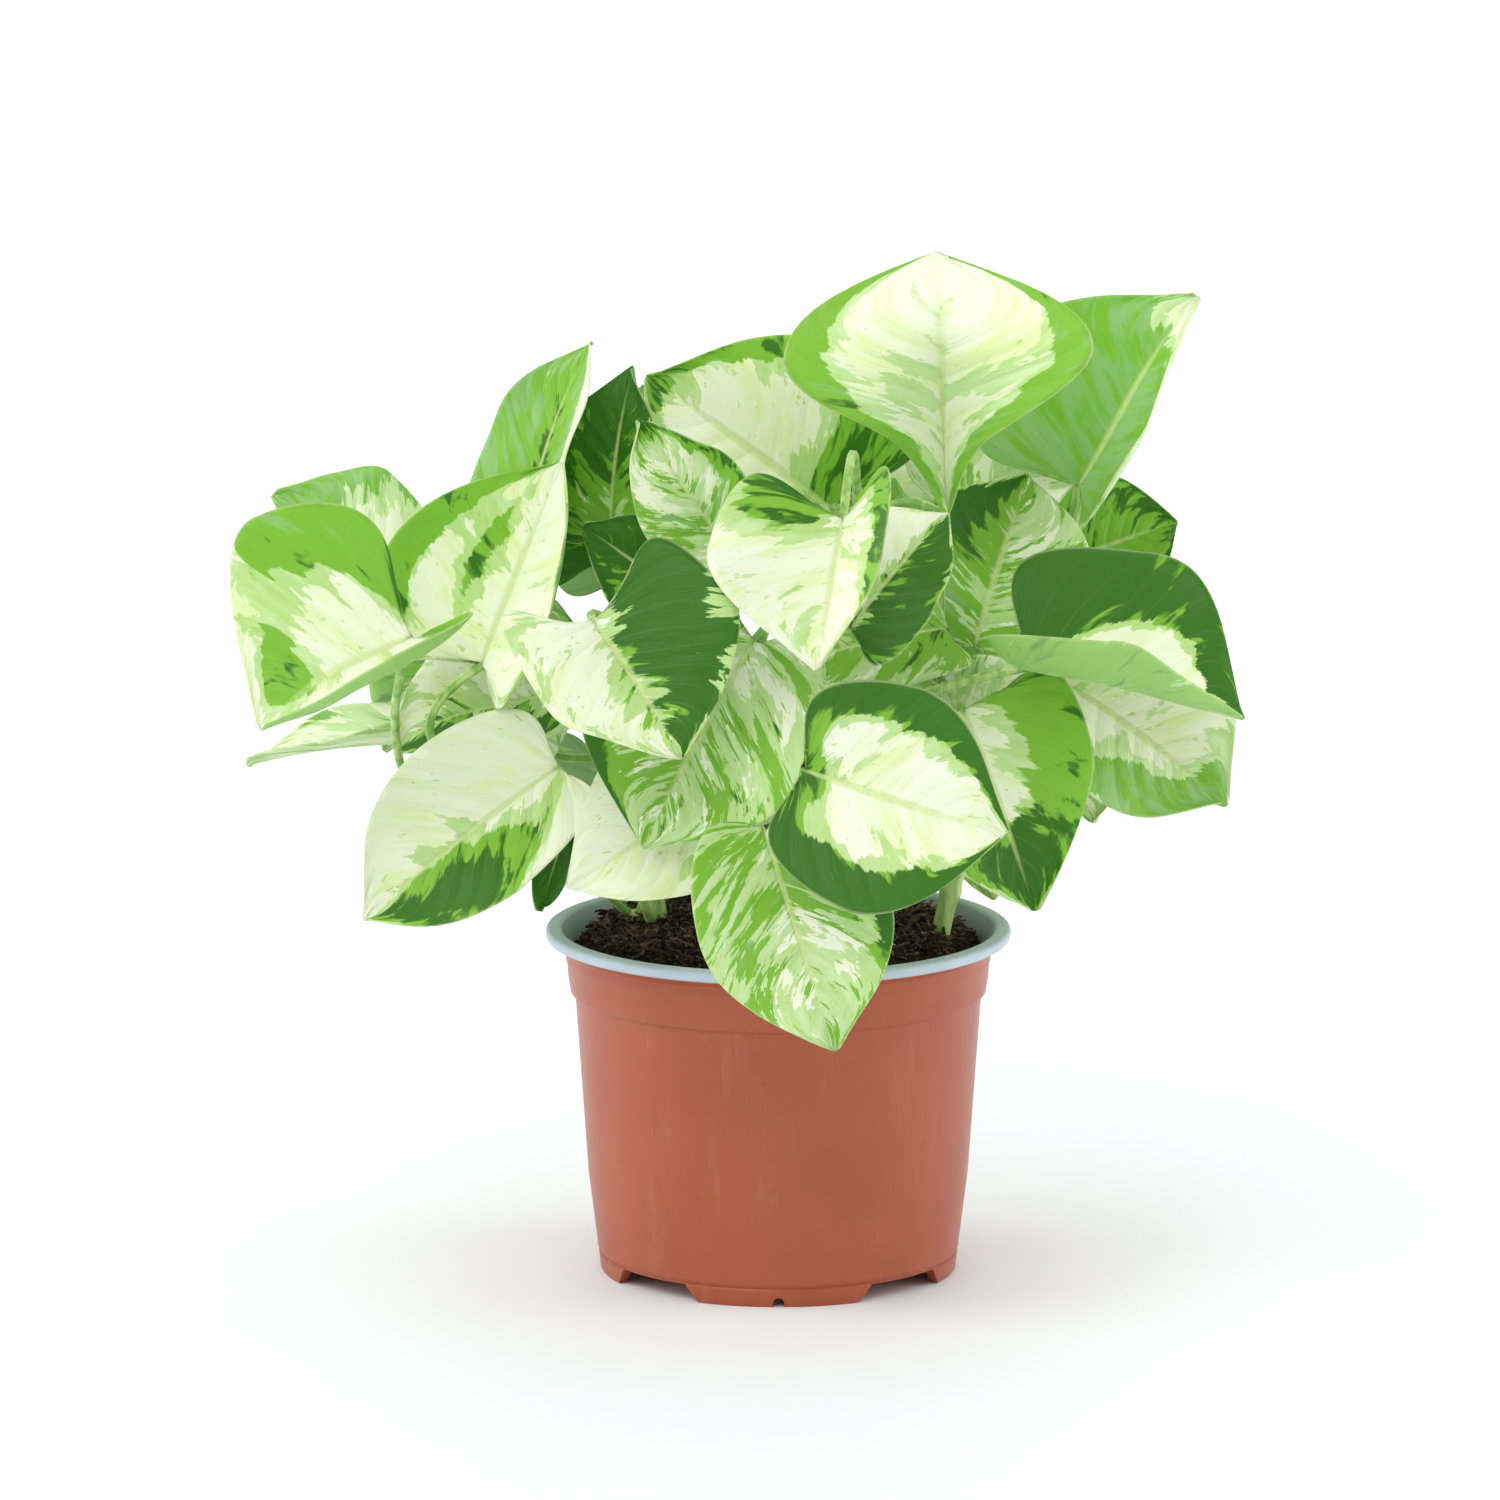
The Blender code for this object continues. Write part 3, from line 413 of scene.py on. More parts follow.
inside_wall = new_node(litter, "FunctionNodeCompare", dict(data_type="FLOAT", operation="LESS_THAN"),
                       in0=outward.outputs["Value"], in1=clear)
chosen = new_node(litter, "FunctionNodeBooleanMath", dict(operation="AND"), in0=upward.outputs[0],
                  in1=inside_wall.outputs[0])
area = times(litter, times(litter, given.outputs["Radius"], given.outputs["Radius"]), math.pi)
density = maths(litter, "DIVIDE", given.outputs["Count"], area)
spots = new_node(litter, "GeometryNodeDistributePointsOnFaces", Mesh=given.outputs["Geometry"],
                 Selection=chosen.outputs[0], Density=density, Seed=given.outputs["Seed"])
tilt = given.outputs["Tilt"]
lean_back = times(litter, tilt, -1.0)
low_turn = new_node(litter, "ShaderNodeCombineXYZ", X=lean_back, Y=lean_back, Z=0.0)
high_turn = new_node(litter, "ShaderNodeCombineXYZ", X=tilt, Y=tilt, Z=math.tau)
turn = new_node(litter, "FunctionNodeRandomValue", dict(data_type="FLOAT_VECTOR"), Min=low_turn.outputs[0],
                Max=high_turn.outputs[0], Seed=given.outputs["Seed"])
size = new_node(litter, "FunctionNodeRandomValue", dict(data_type="FLOAT"))
litter.links.new(given.outputs["Small"], size.inputs[2])
litter.links.new(given.outputs["Large"], size.inputs[3])
litter.links.new(given.outputs["Seed"], size.inputs["Seed"])
shape = new_node(litter, "GeometryNodeObjectInfo", Object=given.outputs["Piece"])
scatter = new_node(litter, "GeometryNodeInstanceOnPoints", Points=spots.outputs["Points"],
                   Instance=shape.outputs["Geometry"], Rotation=turn.outputs[0], Scale=size.outputs[1])
real = new_node(litter, "GeometryNodeRealizeInstances", Geometry=scatter.outputs[0])
coloured = new_node(litter, "GeometryNodeSetMaterial", Geometry=real.outputs[0],
                    Material=given.outputs["Finish"])
litter.links.new(coloured.outputs[0], made.inputs[0])


def set_input(modifier, name, value):
    """Give a modifier's input its value, by the socket's identifier."""
    sockets = modifier.node_group.interface.items_tree
    found = next(s for s in sockets if s.item_type == "SOCKET" and s.in_out == "INPUT" and s.name == name)
    modifier[found.identifier] = value


def scattered(name, piece, finish, count, small, large, tilt, margin, seed):
    """A mesh of loose bits lying over the top of the compost."""
    bed = bpy.data.objects.new(name, soil_body.data.copy())
    bpy.context.scene.collection.objects.link(bed)
    bed.data.materials.append(finish)
    spread = bed.modifiers.new(name, "NODES")
    spread.node_group = litter
    for key, value in (("Piece", piece), ("Radius", SOIL_RADIUS * MM), ("Small", small),
                       ("Large", large), ("Tilt", tilt), ("Margin", margin * MM), ("Count", count),
                       ("Seed", seed), ("Finish", finish)):
        set_input(spread, key, value)
    return settled(bed)


def lump(name, radius, seed):
    """One rough crumb with few faces."""
    work = bmesh.new()
    bmesh.ops.create_icosphere(work, subdivisions=1, radius=radius * MM)
    for vert in work.verts:
        vert.co *= 1 + 0.55 * noise.noise(vert.co / MM * 1.3 + Vector((seed, 0, 0)))
    return as_object(name, work)


def strand(name, length, thick, seed):
    """One bent bark fibre: a flat square rod that wanders and thins at both ends."""
    work = bmesh.new()
    steps, rows = 7, []
    for k in range(steps + 1):
        t = k / steps
        middle = Vector(((t - 0.5) * length, 2.2 * noise.noise(Vector((t * 2.5, seed, 0))),
                         1.2 * noise.noise(Vector((t * 2.5, seed, 5))) + 0.3))
        half = thick / 2 * (0.35 + 0.65 * math.sin(math.pi * (0.12 + 0.76 * t)))
        rows.append([work.verts.new((middle + Vector((0, y * half, z * half * 0.6))) * MM)
                     for y, z in ((-1, -1), (1, -1), (1, 1), (-1, 1))])
    for near, far in zip(rows, rows[1:]):
        for k in range(4):
            work.faces.new((near[k], near[(k + 1) % 4], far[(k + 1) % 4], far[k]))
    work.faces.new(rows[0])
    work.faces.new(rows[-1])
    bmesh.ops.recalc_face_normals(work, faces=work.faces)
    return as_object(name, work)


# each bit, its material, how many, its smallest and largest scale, how far it leans (radians), how far
# it keeps from the wall (mm), and the seed of its scatter
bits = [
    (lump("crumb", 0.9, 1), peat, CRUMBS, 0.5, 1.7, 3.0, 1.5, 3),
    (strand("long_fibre", 11.0, 0.85, 2), bark_fibre, FIBRES // 3, 0.5, 1.1, 0.45, 6.2, 5),
    (strand("short_fibre", 6.0, 0.7, 8), bark_fibre, FIBRES // 3, 0.5, 1.4, 0.55, 4.4, 7),
    (strand("dark_fibre", 8.0, 1.1, 4), peat, FIBRES // 3, 0.5, 1.3, 0.5, 5.4, 11),
    (lump("perlite_grain", 0.8, 6), perlite, GRAINS, 0.5, 1.1, 3.0, 1.5, 13),
]
soil_body.data.materials.append(peat)
gathered = bmesh.new()
gathered.from_mesh(soil_body.data)
finishes = [peat, bark_fibre, perlite]
for number, (piece, finish, *spread) in enumerate(bits):
    loose = scattered(f"litter_{number}", piece, finish, *spread)
    first = len(gathered.faces)
    gathered.from_mesh(loose)
    gathered.faces.ensure_lookup_table()
    for face in gathered.faces[first:]:
        face.material_index = finishes.index(finish)
    bpy.data.objects.remove(piece)
bpy.data.objects.remove(soil_body)
soil_mesh = bpy.data.meshes.new("compost")
gathered.to_mesh(soil_mesh)
gathered.free()
for finish in finishes:
    soil_mesh.materials.append(finish)
finish_piece("compost", soil_mesh, ["soil"])

# ---- the stems ---------------------------------------------------------------------------------
# Seven rooted cuttings: round green stems just under 5 mm thick, ringed at every node where a leaf
# sat, streaked pale and dark with a few corky brown marks. They only stand in the compost.

STEM_RADIUS = 2.4
STEM_STEPS = 8
STEMS = {
    "stem_left": [(-29, -6, 60), (-31, -8, 95), (-38, -12, 124)],
    "stem_back_left": [(-14, 20, 60), (-18, 22, 105), (-27, 20, 142), (-30, 18, 160)],
    "stem_front": [(4, -22, 60), (4, -24, 100), (0, -24, 130)],
    "stem_middle": [(14, 8, 60), (16, 8, 110), (20, 6, 150), (24, 4, 172)],
    "stem_right": [(38, -8, 60), (42, -11, 92), (50, -12, 122), (55, -12, 138)],
    "stem_back": [(-4, 36, 60), (-4, 44, 105), (-8, 50, 148)],
    "stem_back_right": [(30, 28, 60), (38, 32, 105), (46, 34, 150)],
}


def smooth_path(points, steps):
    """Points of a Catmull-Rom curve through the given ones."""
    p = [np.asarray(q, float) for q in points]
    p = [2 * p[0] - p[1]] + p + [2 * p[-1] - p[-2]]
    found = []
    for a, b, c, d in zip(p, p[1:], p[2:], p[3:]):
        for k in range(steps):
            t = k / steps
            found.append(0.5 * (2 * b + (c - a) * t + (2 * a - 5 * b + 4 * c - d) * t * t
                                + (3 * b - 3 * c + d - a) * t ** 3))
    found.append(p[-2])
    return found


# Skin of stems and leaf stalks: pale green with long darker streaks and scattered corky marks.
stalk_skin = bpy.data.node_groups.new("stalk_skin", "ShaderNodeTree")
add_socket(stalk_skin, "Pale", "Color", value=(0.46, 0.62, 0.22, 1))
add_socket(stalk_skin, "Green", "Color", value=(0.22, 0.42, 0.09, 1))
add_socket(stalk_skin, "Corky", "Float", value=0.6)
add_socket(stalk_skin, "Colour", "Color", into="OUTPUT")
add_socket(stalk_skin, "Height", "Float", into="OUTPUT")
group_in, group_out = stalk_skin.nodes.new("NodeGroupInput"), stalk_skin.nodes.new("NodeGroupOutput")
place = new_node(stalk_skin, "ShaderNodeTexCoord").outputs["Object"]
drawn = new_node(stalk_skin, "ShaderNodeMapping", Vector=place, Scale=(1.0, 1.0, 0.1))
streaks = new_node(stalk_skin, "ShaderNodeTexNoise", Vector=drawn.outputs[0], Scale=420.0, Detail=4.0)
marks = new_node(stalk_skin, "ShaderNodeTexNoise", Vector=place, Scale=210.0, Detail=5.0, Roughness=0.7)
skin = blend(stalk_skin, ramp(stalk_skin, streaks.outputs[0], 0.38, 0.62), group_in.outputs["Pale"],
             group_in.outputs["Green"])
corky = times(stalk_skin, ramp(stalk_skin, marks.outputs[0], 0.62, 0.72), group_in.outputs["Corky"])
stalk_skin.links.new(blend(stalk_skin, corky, skin, (0.16, 0.09, 0.035)), group_out.inputs["Colour"])
stalk_skin.links.new(plus(stalk_skin, streaks.outputs[0], corky), group_out.inputs["Height"])

stem_finish, tree, shader = new_material("green_stem")
skin = new_node(tree, "ShaderNodeGroup", dict(node_tree=stalk_skin))
tree.links.new(skin.outputs["Colour"], shader.inputs["Base Color"])
shader.inputs["Roughness"].default_value = 0.46
relief = new_node(tree, "ShaderNodeBump", Height=skin.outputs["Height"], Strength=0.35, Distance=0.0004)
tree.links.new(relief.outputs[0], shader.inputs["Normal"])

# A stem follows its path: the ring at each node is a swelling of the radius.
stem_rod = bpy.data.node_groups.new("stem_rod", "GeometryNodeTree")
add_socket(stem_rod, "Geometry", "Geometry")
for socket_name, socket_value in (("Radius", STEM_RADIUS * MM), ("Node Spacing", 0.021), ("Node Swell", 0.22),
                                  ("Ring Spacing", 0.0009)):
    add_socket(stem_rod, socket_name, "Float", value=socket_value)
add_socket(stem_rod, "Sides", "Int", value=20)
add_socket(stem_rod, "Finish", "Material")
add_socket(stem_rod, "Geometry", "Geometry", into="OUTPUT")
given, made = stem_rod.nodes.new("NodeGroupInput"), stem_rod.nodes.new("NodeGroupOutput")
line = new_node(stem_rod, "GeometryNodeResampleCurve", dict(mode="LENGTH"), Curve=given.outputs["Geometry"],
                Length=given.outputs["Ring Spacing"])
reach = new_node(stem_rod, "GeometryNodeSplineParameter")
phase = maths(stem_rod, "DIVIDE", reach.outputs["Length"], given.outputs["Node Spacing"])
ring = maths(stem_rod, "POWER", maths(stem_rod, "ABSOLUTE", maths(
    stem_rod, "COSINE", times(stem_rod, phase, math.pi))), 26.0)
end = maths(stem_rod, "POWER", maths(stem_rod, "SUBTRACT", 1.0, maths(
    stem_rod, "POWER", reach.outputs["Factor"], 40.0)), 0.5)
swollen = times(stem_rod, plus(stem_rod, 1.0, times(stem_rod, ring, given.outputs["Node Swell"])), end)
sized = new_node(stem_rod, "GeometryNodeSetCurveRadius", Curve=line.outputs[0], Radius=swollen)
profile = new_node(stem_rod, "GeometryNodeCurvePrimitiveCircle", Resolution=given.outputs["Sides"],
                   Radius=given.outputs["Radius"])
tube = new_node(stem_rod, "GeometryNodeCurveToMesh", Curve=sized.outputs[0], in1=profile.outputs[0])
tube.inputs["Fill Caps"].default_value = True
spread = new_node(stem_rod, "GeometryNodeInputRadius")
stem_rod.links.new(spread.outputs[0], tube.inputs["Scale"])
joined = new_node(stem_rod, "GeometryNodeRealizeInstances", Geometry=tube.outputs[0])
dressed = new_node(stem_rod, "GeometryNodeSetMaterial", Geometry=joined.outputs[0],
                   Material=given.outputs["Finish"])
stem_rod.links.new(dressed.outputs[0], made.inputs[0])

for name, points in STEMS.items():
    path = smooth_path(points, STEM_STEPS)
    holder = bpy.data.curves.new(name, "CURVE")
    holder.dimensions = "3D"
    spline = holder.splines.new("POLY")
    spline.points.add(len(path) - 1)
    for target, point in zip(spline.points, path):
        target.co = (*(Vector(point) * MM), 1)
    rod = bpy.data.objects.new(name + "_line", holder)
    bpy.context.scene.collection.objects.link(rod)
    grow = rod.modifiers.new("stem_rod", "NODES")
    grow.node_group = stem_rod
    set_input(grow, "Finish", stem_finish)
    mesh = settled(rod)
    work = bmesh.new()
    work.from_mesh(mesh)
    bmesh.ops.remove_doubles(work, verts=work.verts, dist=1e-6)
    bmesh.ops.recalc_face_normals(work, faces=work.faces)
    for face in work.faces:
        face.smooth = True
    work.to_mesh(mesh)
    work.free()
    finish_piece("green_" + name, mesh, [name])

# ---- the leaves --------------------------------------------------------------------------------
# Each leaf is one growth: a channelled stalk off its stem that widens into a heart-shaped blade,
# thin as card, folded along the midrib and waved at the margin. Its colour is cream and green, laid
# in sectors and brushed streaks that follow the side veins.

STALK_RADIUS = 1.15
BLADE_HALF_THICKNESS = 0.22
# Shares of the blade's length: where the tip starts to narrow and how far up the lobes reach; then how
# softly the lobes start, how they sweep back, and how many waves a margin has.
TIP_FROM, LOBE_UNTIL = 0.75, 0.36
LOBE_EASE, LOBE_SWEEP, WAVES = 0.6, 1.4, 1.7

# A row gives what LEAF_COLUMNS names, then what differs from the defaults, then the patches. All but
# tone and patches is the same as in the solids.
# stem, height: the stem a leaf grows from, and the share of the way up it.
# base, tip: the two ends of the blade. face: where its upper side looks. width: across it when flat.
# arch, arch_at: the midrib's bow as a share of the length, and where on the blade it is highest.
# left, right: how far each half folds up at the midrib and curls on from there to its margin.
# flare: how much stronger fold and curl are at the base, and weaker at the tip.
# lobe: how far the base reaches back. wide: where the blade is widest.
# shoulder: above 0.5 is slimmer at the base. taper: how much the tip is drawn in; below 0 it swells.
# ripple: height of the margin's wave. rise: the angle between stalk and midrib where they meet.
# sway: how far the stalk swings out of its straight way.
# tone: the kind of variegation. patches: (u, v, reach in u, reach in v, amount, deep) where u runs from
# the base 0 to the tip 1 and v from the left margin 1 to the right -1; an amount above 0 is greener.
LEAF_DEFAULTS = dict(
    arch=0.06, arch_at=0.5, left=(12, 20), right=(12, 20), flare=0.0, lobe=0.32, wide=0.36, shoulder=0.5,
    taper=0.3, ripple=1.8, rise=45.0, sway=(0, 0, 0))
LEAF_COLUMNS = ("stem", "height", "base", "tip", "face", "width", "tone")
# how green, how deep that green is, and how strongly it is broken into streaks
TONES = {
    "cream": (0.08, 0.30, 0.46), "marbled": (0.42, 0.33, 1.15), "green": (0.92, 0.72, 0.40),
    "grey": (0.72, 0.12, 0.60), "yellow": (0.34, 0.18, 0.75), "half": (0.30, 0.50, 0.70),
}
LEAVES = {
    # the crown and the upper left
    "leaf_top": ("stem_middle", 0.92, (42.5, -27, 201.2), (39.5, -37, 270.6), (0, -1, 0.1), 84, "cream",
        dict(left=(30, 10), right=(36, 20), flare=0.9, arch=0.2, arch_at=0.8, wide=0.72, lobe=0.1,
        ripple=2.0, shoulder=0.7, sway=(-13, -1, 17), taper=-0.32),
        [(0.75, 1, 0.4, 0.28, 0.85, 0.3), (0.7, -1, 0.42, 0.26, 0.8, 0.25), (0.2, 1, 0.3, 0.5, 0.5, 0.3),
        (0.3, -1, 0.3, 0.5, 0.6, 0.25), (0.55, 0.1, 0.4, 0.35, 0.24, 0.15),
        (0.95, 0, 0.1, 0.5, -0.1, 0.2)]),
    "leaf_top_right": ("stem_back_right", 0.9, (77.1, 17, 201.7), (108.1, 12, 251.7),
        (-0.35, -0.9, 0.2), 72, "grey",
        dict(left=(5, 20), right=(40, 40), arch=0.1, arch_at=0.7, sway=(0, -11, -7)),
        [(0.45, 0.4, 0.5, 0.5, 0.35, 0.12), (0.95, 0, 0.15, 0.8, -0.8, 0.1),
        (0.6, -0.95, 0.5, 0.18, -0.7, 0)]),
    "leaf_back_cream": ("stem_middle", 0.82, (14, 26, 194), (-34, 22, 230), (0.1, -1, 0.15), 78, "cream",
        dict(sway=(0, 0, -4)),
        [(0.5, -0.95, 0.6, 0.28, 0.9, 0.45), (0.1, -0.4, 0.15, 0.6, 0.8, 0.5),
        (0.95, 0, 0.12, 1, 0.6, 0.6)]),
    "leaf_dark_point": ("stem_back_left", 0.92, (-43.2, 19, 188.1), (-37.2, 16, 233.3),
        (-0.5, -0.85, 0.1), 36, "green", dict(sway=(4, 0, 0)),
        [(0.2, 0, 0.3, 1, -0.4, 0.3), (0.4, -0.9, 0.4, 0.2, -0.6, 0.3)]),
    "leaf_left_tall": ("stem_back_left", 0.8, (-65.9, 20, 185), (-47.9, 9, 240.9),
        (-0.6, -0.7, 0.3), 36, "grey", dict(sway=(-16, 0, 0)),
        [(0.5, -0.95, 0.6, 0.25, -0.9, 0.1), (0.4, 0, 0.5, 0.2, 0.4, 0.6)]),
    "leaf_left_cream": ("stem_left", 0.97, (-75.9, -15, 160.9), (-54.9, -11, 212.8),
        (-0.1, -1, 0.1), 70, "cream", dict(right=(45, 40), sway=(-28, -21, -7)),
        [(0.6, 0.9, 0.5, 0.25, 1, 0.45), (0.5, 0.3, 0.3, 0.12, 0.6, 0.4),
        (0.5, -0.95, 0.5, 0.15, 0.8, 0.5)]),
    "leaf_far_left": ("stem_left", 0.8, (-92.6, -54, 175.2), (-129.5, -72, 154.8),
        (-0.15, -0.85, 0.5), 90, "cream",
        dict(left=(35, 50), right=(0, 30), lobe=0.3, arch=0.14, arch_at=0.6, wide=0.42, rise=90, sway=(-19,
        39, -45)),
        [(0, -0.9, 0.3, 0.5, 1, 0.55), (0.3, -0.95, 0.3, 0.3, 0.8, 0.3),
        (0.75, -0.25, 0.18, 0.3, 0.95, 0.3), (0.5, 0.85, 0.8, 0.45, 1, 0.3)]),
    "leaf_far_left_back": ("stem_back_left", 0.66, (-100, 36, 176), (-131, 42, 196),
        (-0.3, -0.5, 0.8), 40, "grey", {}, [(0.2, 0, 0.3, 1, -0.6, 0.1)]),
    "leaf_square": ("stem_back_left", 0.96, (-13, -20, 192), (-36.1, -24, 226), (0, -1, 0.1), 32, "yellow",
        dict(rise=30), [(0.6, -0.95, 0.5, 0.25, 0.6, 0.6), (0.95, 0, 0.12, 1, 0.5, 0.7)]),
    "leaf_dark_a": ("stem_back_left", 0.72, (-46.1, 39, 178.4), (-53.2, 37, 212.5), (0, -1, 0.2), 38, "green",
        {}, []),
    "leaf_dark_b": ("stem_left", 0.96, (-24, 0, 174.9), (-50.1, -4, 195), (0, -0.9, 0.4), 32, "green", {},
        [(0.5, 0.5, 0.3, 0.3, -0.2, 0.5)]),
    # the lower left
    "leaf_left_under": ("stem_left", 0.73, (-54.3, 0, 152.5), (-98.6, -8, 136.4), (0, -0.6, 0.8), 46, "half",
        dict(arch=0.12, arch_at=0.7, sway=(7, -1, 7)),
        [(0.6, 0.6, 0.5, 0.5, 0.7, 0.7), (0.3, -0.6, 0.4, 0.5, -0.2, 0.2)]),
    "leaf_left_edge": ("stem_back_left", 0.45, (-58, 15, 131.8), (-138, 21, 127.8), (0, 0, 1), 50, "yellow",
        dict(sway=(0, 4, 4)), []),
    "leaf_bottom_left": ("stem_left", 0.62, (-56, -36, 138.4), (-104.9, -44, 100.2),
        (-0.2, -0.9, 0.4), 50, "cream", dict(wide=0.42, right=(12, 15), rise=105, sway=(7, 28, -35)),
        [(0.65, 0.55, 0.42, 0.5, 1.2, 0.75), (0.2, 0.85, 0.2, 0.3, -0.3, 0.2)]),
    "leaf_rolled": ("stem_left", 0.49, (-50.1, -37, 130.6), (-60.1, -43, 102.5),
        (-0.5, -0.9, 0.2), 16, "green", dict(rise=90, sway=(0, -7, 0)), []),
    "leaf_low_cream": ("stem_front", 0.78, (-4, -53, 142.2), (-53.1, -61, 112.1), (0, -0.9, 0.4), 46, "cream",
        dict(wide=0.42, sway=(-4, -8, -1)), [(0.4, 0.6, 0.15, 0.2, 0.25, 0.3)]),
    # the middle
    "leaf_front_marbled": ("stem_front", 0.96, (-6, -61, 175.9), (-34.1, -71, 124.8),
        (-0.1, -0.9, 0.4), 66, "marbled", dict(wide=0.45, right=(15, 25), sway=(4, -15, 10)),
        [(0.5, -0.95, 0.5, 0.2, 0.8, 0.8)]),
    "leaf_centre_dark": ("stem_front", 0.88, (-46, -84, 184.8), (-24, -100, 152.8),
        (0, -0.8, 0.6), 62, "half", dict(left=(8, 15), right=(18, 25), lobe=0.45, sway=(4, 4, 0)),
        [(0.6, 0.5, 0.55, 0.5, 0.5, 0.75), (0.6, -0.55, 0.6, 0.5, -0.12, 0.3),
        (0.1, 0.7, 0.25, 0.4, 0.2, 0.9)]),
    "leaf_upper_centre": ("stem_middle", 0.75, (15.8, -81, 210.2), (9.6, -105, 176.5),
        (0, -0.8, 0.6), 64, "cream",
        dict(left=(50, 30), wide=0.4, right=(5, 10), rise=30, sway=(0, -8, 21)),
        [(0, -0.8, 0.25, 0.6, 0.9, 0.6), (0.3, 0.9, 0.5, 0.5, 0.7, 0.5), (0.75, -0.5, 0.3, 0.4, 0.2, 0.3)]),
    "leaf_centre_fold": ("stem_middle", 0.9, (17.7, -73, 180.8), (42.4, -67, 209.1),
        (-0.2, -0.8, 0.5), 40, "half", dict(rise=30, sway=(-28, 7, 15)),
        [(0.5, -0.5, 0.6, 0.5, 0.9, 0.75), (0.5, 0.5, 0.6, 0.4, -0.5, 0.2)]),
    "leaf_mid_under": ("stem_middle", 0.58, (42, -32, 173.6), (-4, -44, 164), (0, -0.8, 0.6), 40, "marbled",
        dict(sway=(7, -7, -35)), [(0.1, 0, 0.25, 1, 0.5, 0.4)]),
    "leaf_behind_blue": ("stem_middle", 0.59, (25.9, 10, 168.7), (28.9, 12, 204.7), (0, -1, 0.2), 36, "grey",
        dict(rise=30, sway=(-4, 11, 2)), []),
    "leaf_grey_mid": ("stem_middle", 0.45, (49.1, -7, 147.8), (18, -11, 171.9), (0, -0.9, 0.5), 34, "grey",
        dict(rise=30, sway=(-15, -6, -18)), [(0.5, 0, 0.5, 1, 0.2, 0.15)]),
    "leaf_dark_centre": ("stem_front", 0.49, (10.1, -17, 156.4), (-10, -23, 130.2),
        (0, -0.9, 0.5), 34, "green", dict(sway=(-7, 5, 10)), []),
    "leaf_front_right": ("stem_front", 0.65, (5.9, -99, 150.1), (55.5, -103, 134.2),
        (0.05, -1, 0.15), 62, "cream",
        dict(lobe=0.25, wide=0.42, right=(10, 20), rise=15, sway=(24, -3, 4)),
        [(0.45, 0.95, 0.6, 0.32, 1.15, 0.95), (0.45, -0.95, 0.6, 0.35, 1.2, 0.95),
        (0, 0, 0.14, 1, 0.9, 0.6)]),
    "leaf_front_low": ("stem_front", 0.45, (-4, -89, 133.4), (13.8, -105, 80.1),
        (0, -0.95, 0.3), 52, "marbled", dict(wide=0.45, rise=30, sway=(18, -12, -8)),
        [(0.55, 0.98, 0.12, 0.15, 0.9, 0.9), (0.3, -0.8, 0.4, 0.5, 0.25, 0.3)]),
    # the right
    "leaf_right_centre": ("stem_right", 0.95, (49.9, -18, 166.3), (64, -4, 208.4),
        (-0.1, -0.9, 0.4), 60, "marbled", dict(sway=(3, 0, 11)),
        [(0.7, 0.6, 0.4, 0.4, 0.7, 0.85), (0.2, 0.5, 0.3, 0.4, 0.3, 0.1)]),
    "leaf_behind_yellow": ("stem_back_right", 0.86, (44.7, 32, 192), (81.6, 38, 215.9),
        (0, -0.8, 0.6), 44, "yellow", dict(sway=(-2, 0, -16)), []),
    "leaf_right_behind": ("stem_back_right", 0.62, (70.1, 42, 175.7), (104.1, 46, 187.7),
        (0, -1, 0.4), 46, "green", dict(ripple=1.0), [(0.5, 0, 0.8, 1, 0, 0.35)]),
    "leaf_right_big": ("stem_right", 0.87, (61.4, -64, 169.4), (116.1, -72, 157.4),
        (0, -0.65, 0.75), 80, "half",
        dict(left=(0, 15), right=(35, 60), lobe=0.35, wide=0.42, sway=(-40, 0, -7)),
        [(0.35, 0.85, 0.5, 0.35, 0.8, 0.62), (0.05, 0.7, 0.25, 0.5, 0.9, 0.9),
        (0.5, 0.2, 0.4, 0.25, -0.7, 0.3), (0.88, 0.5, 0.15, 0.4, 0.9, 0.8),
        (0.5, -0.7, 0.6, 0.45, 0.65, 0.35)]),
    "leaf_right_small": ("stem_back_right", 0.56, (81.9, 4, 158.7), (107.8, 8, 150.7),
        (0, -0.6, 0.8), 24, "green", dict(rise=75, sway=(14, 11, -8)), []),
    "leaf_right_lower": ("stem_right", 0.66, (72, -6, 155), (114, -20, 125), (0.2, -0.8, 0.5), 62, "cream",
        dict(wide=0.42),
        [(0.6, -0.7, 0.5, 0.45, 0.8, 0.12), (0.95, 0, 0.2, 1, 0.7, 0.12), (0.3, 0.5, 0.3, 0.4, 0.2, 0.15)]),
    "leaf_white_green": ("stem_right", 0.57, (46.1, -59, 157.4), (64.2, -65, 107.3),
        (0.1, -0.9, 0.4), 56, "cream", dict(wide=0.26, rise=60, sway=(-7, -1, 14)),
        [(0.15, 0.85, 0.35, 0.5, 1, 0.4), (0.8, 0.1, 0.28, 1, 1.1, 0.75)]),
    "leaf_right_inner": ("stem_right", 0.5, (44, -34, 148), (72, -40, 160), (0, -0.8, 0.6), 28, "yellow",
        dict(sway=(0, -4, 0)), []),
    "leaf_dark_right": ("stem_middle", 0.3, (62, 17, 136), (30, 12, 160), (0, -0.9, 0.5), 44, "green",
        dict(sway=(0, -4, -4)), []),
    # the back
    "leaf_back_a": ("stem_back", 0.93, (-12, 104, 166.5), (-30.3, 144, 140.2), (-0.1, 0.7, 0.8), 70, "half",
        dict(arch=0.12, sway=(-4, 8, 0)), [(0.5, 0.8, 0.5, 0.4, 0.7, 0.8)]),
    "leaf_back_b": ("stem_back", 0.8, (20, 61, 158.5), (41, 99, 124.5), (0.2, 0.8, 0.6), 62, "cream",
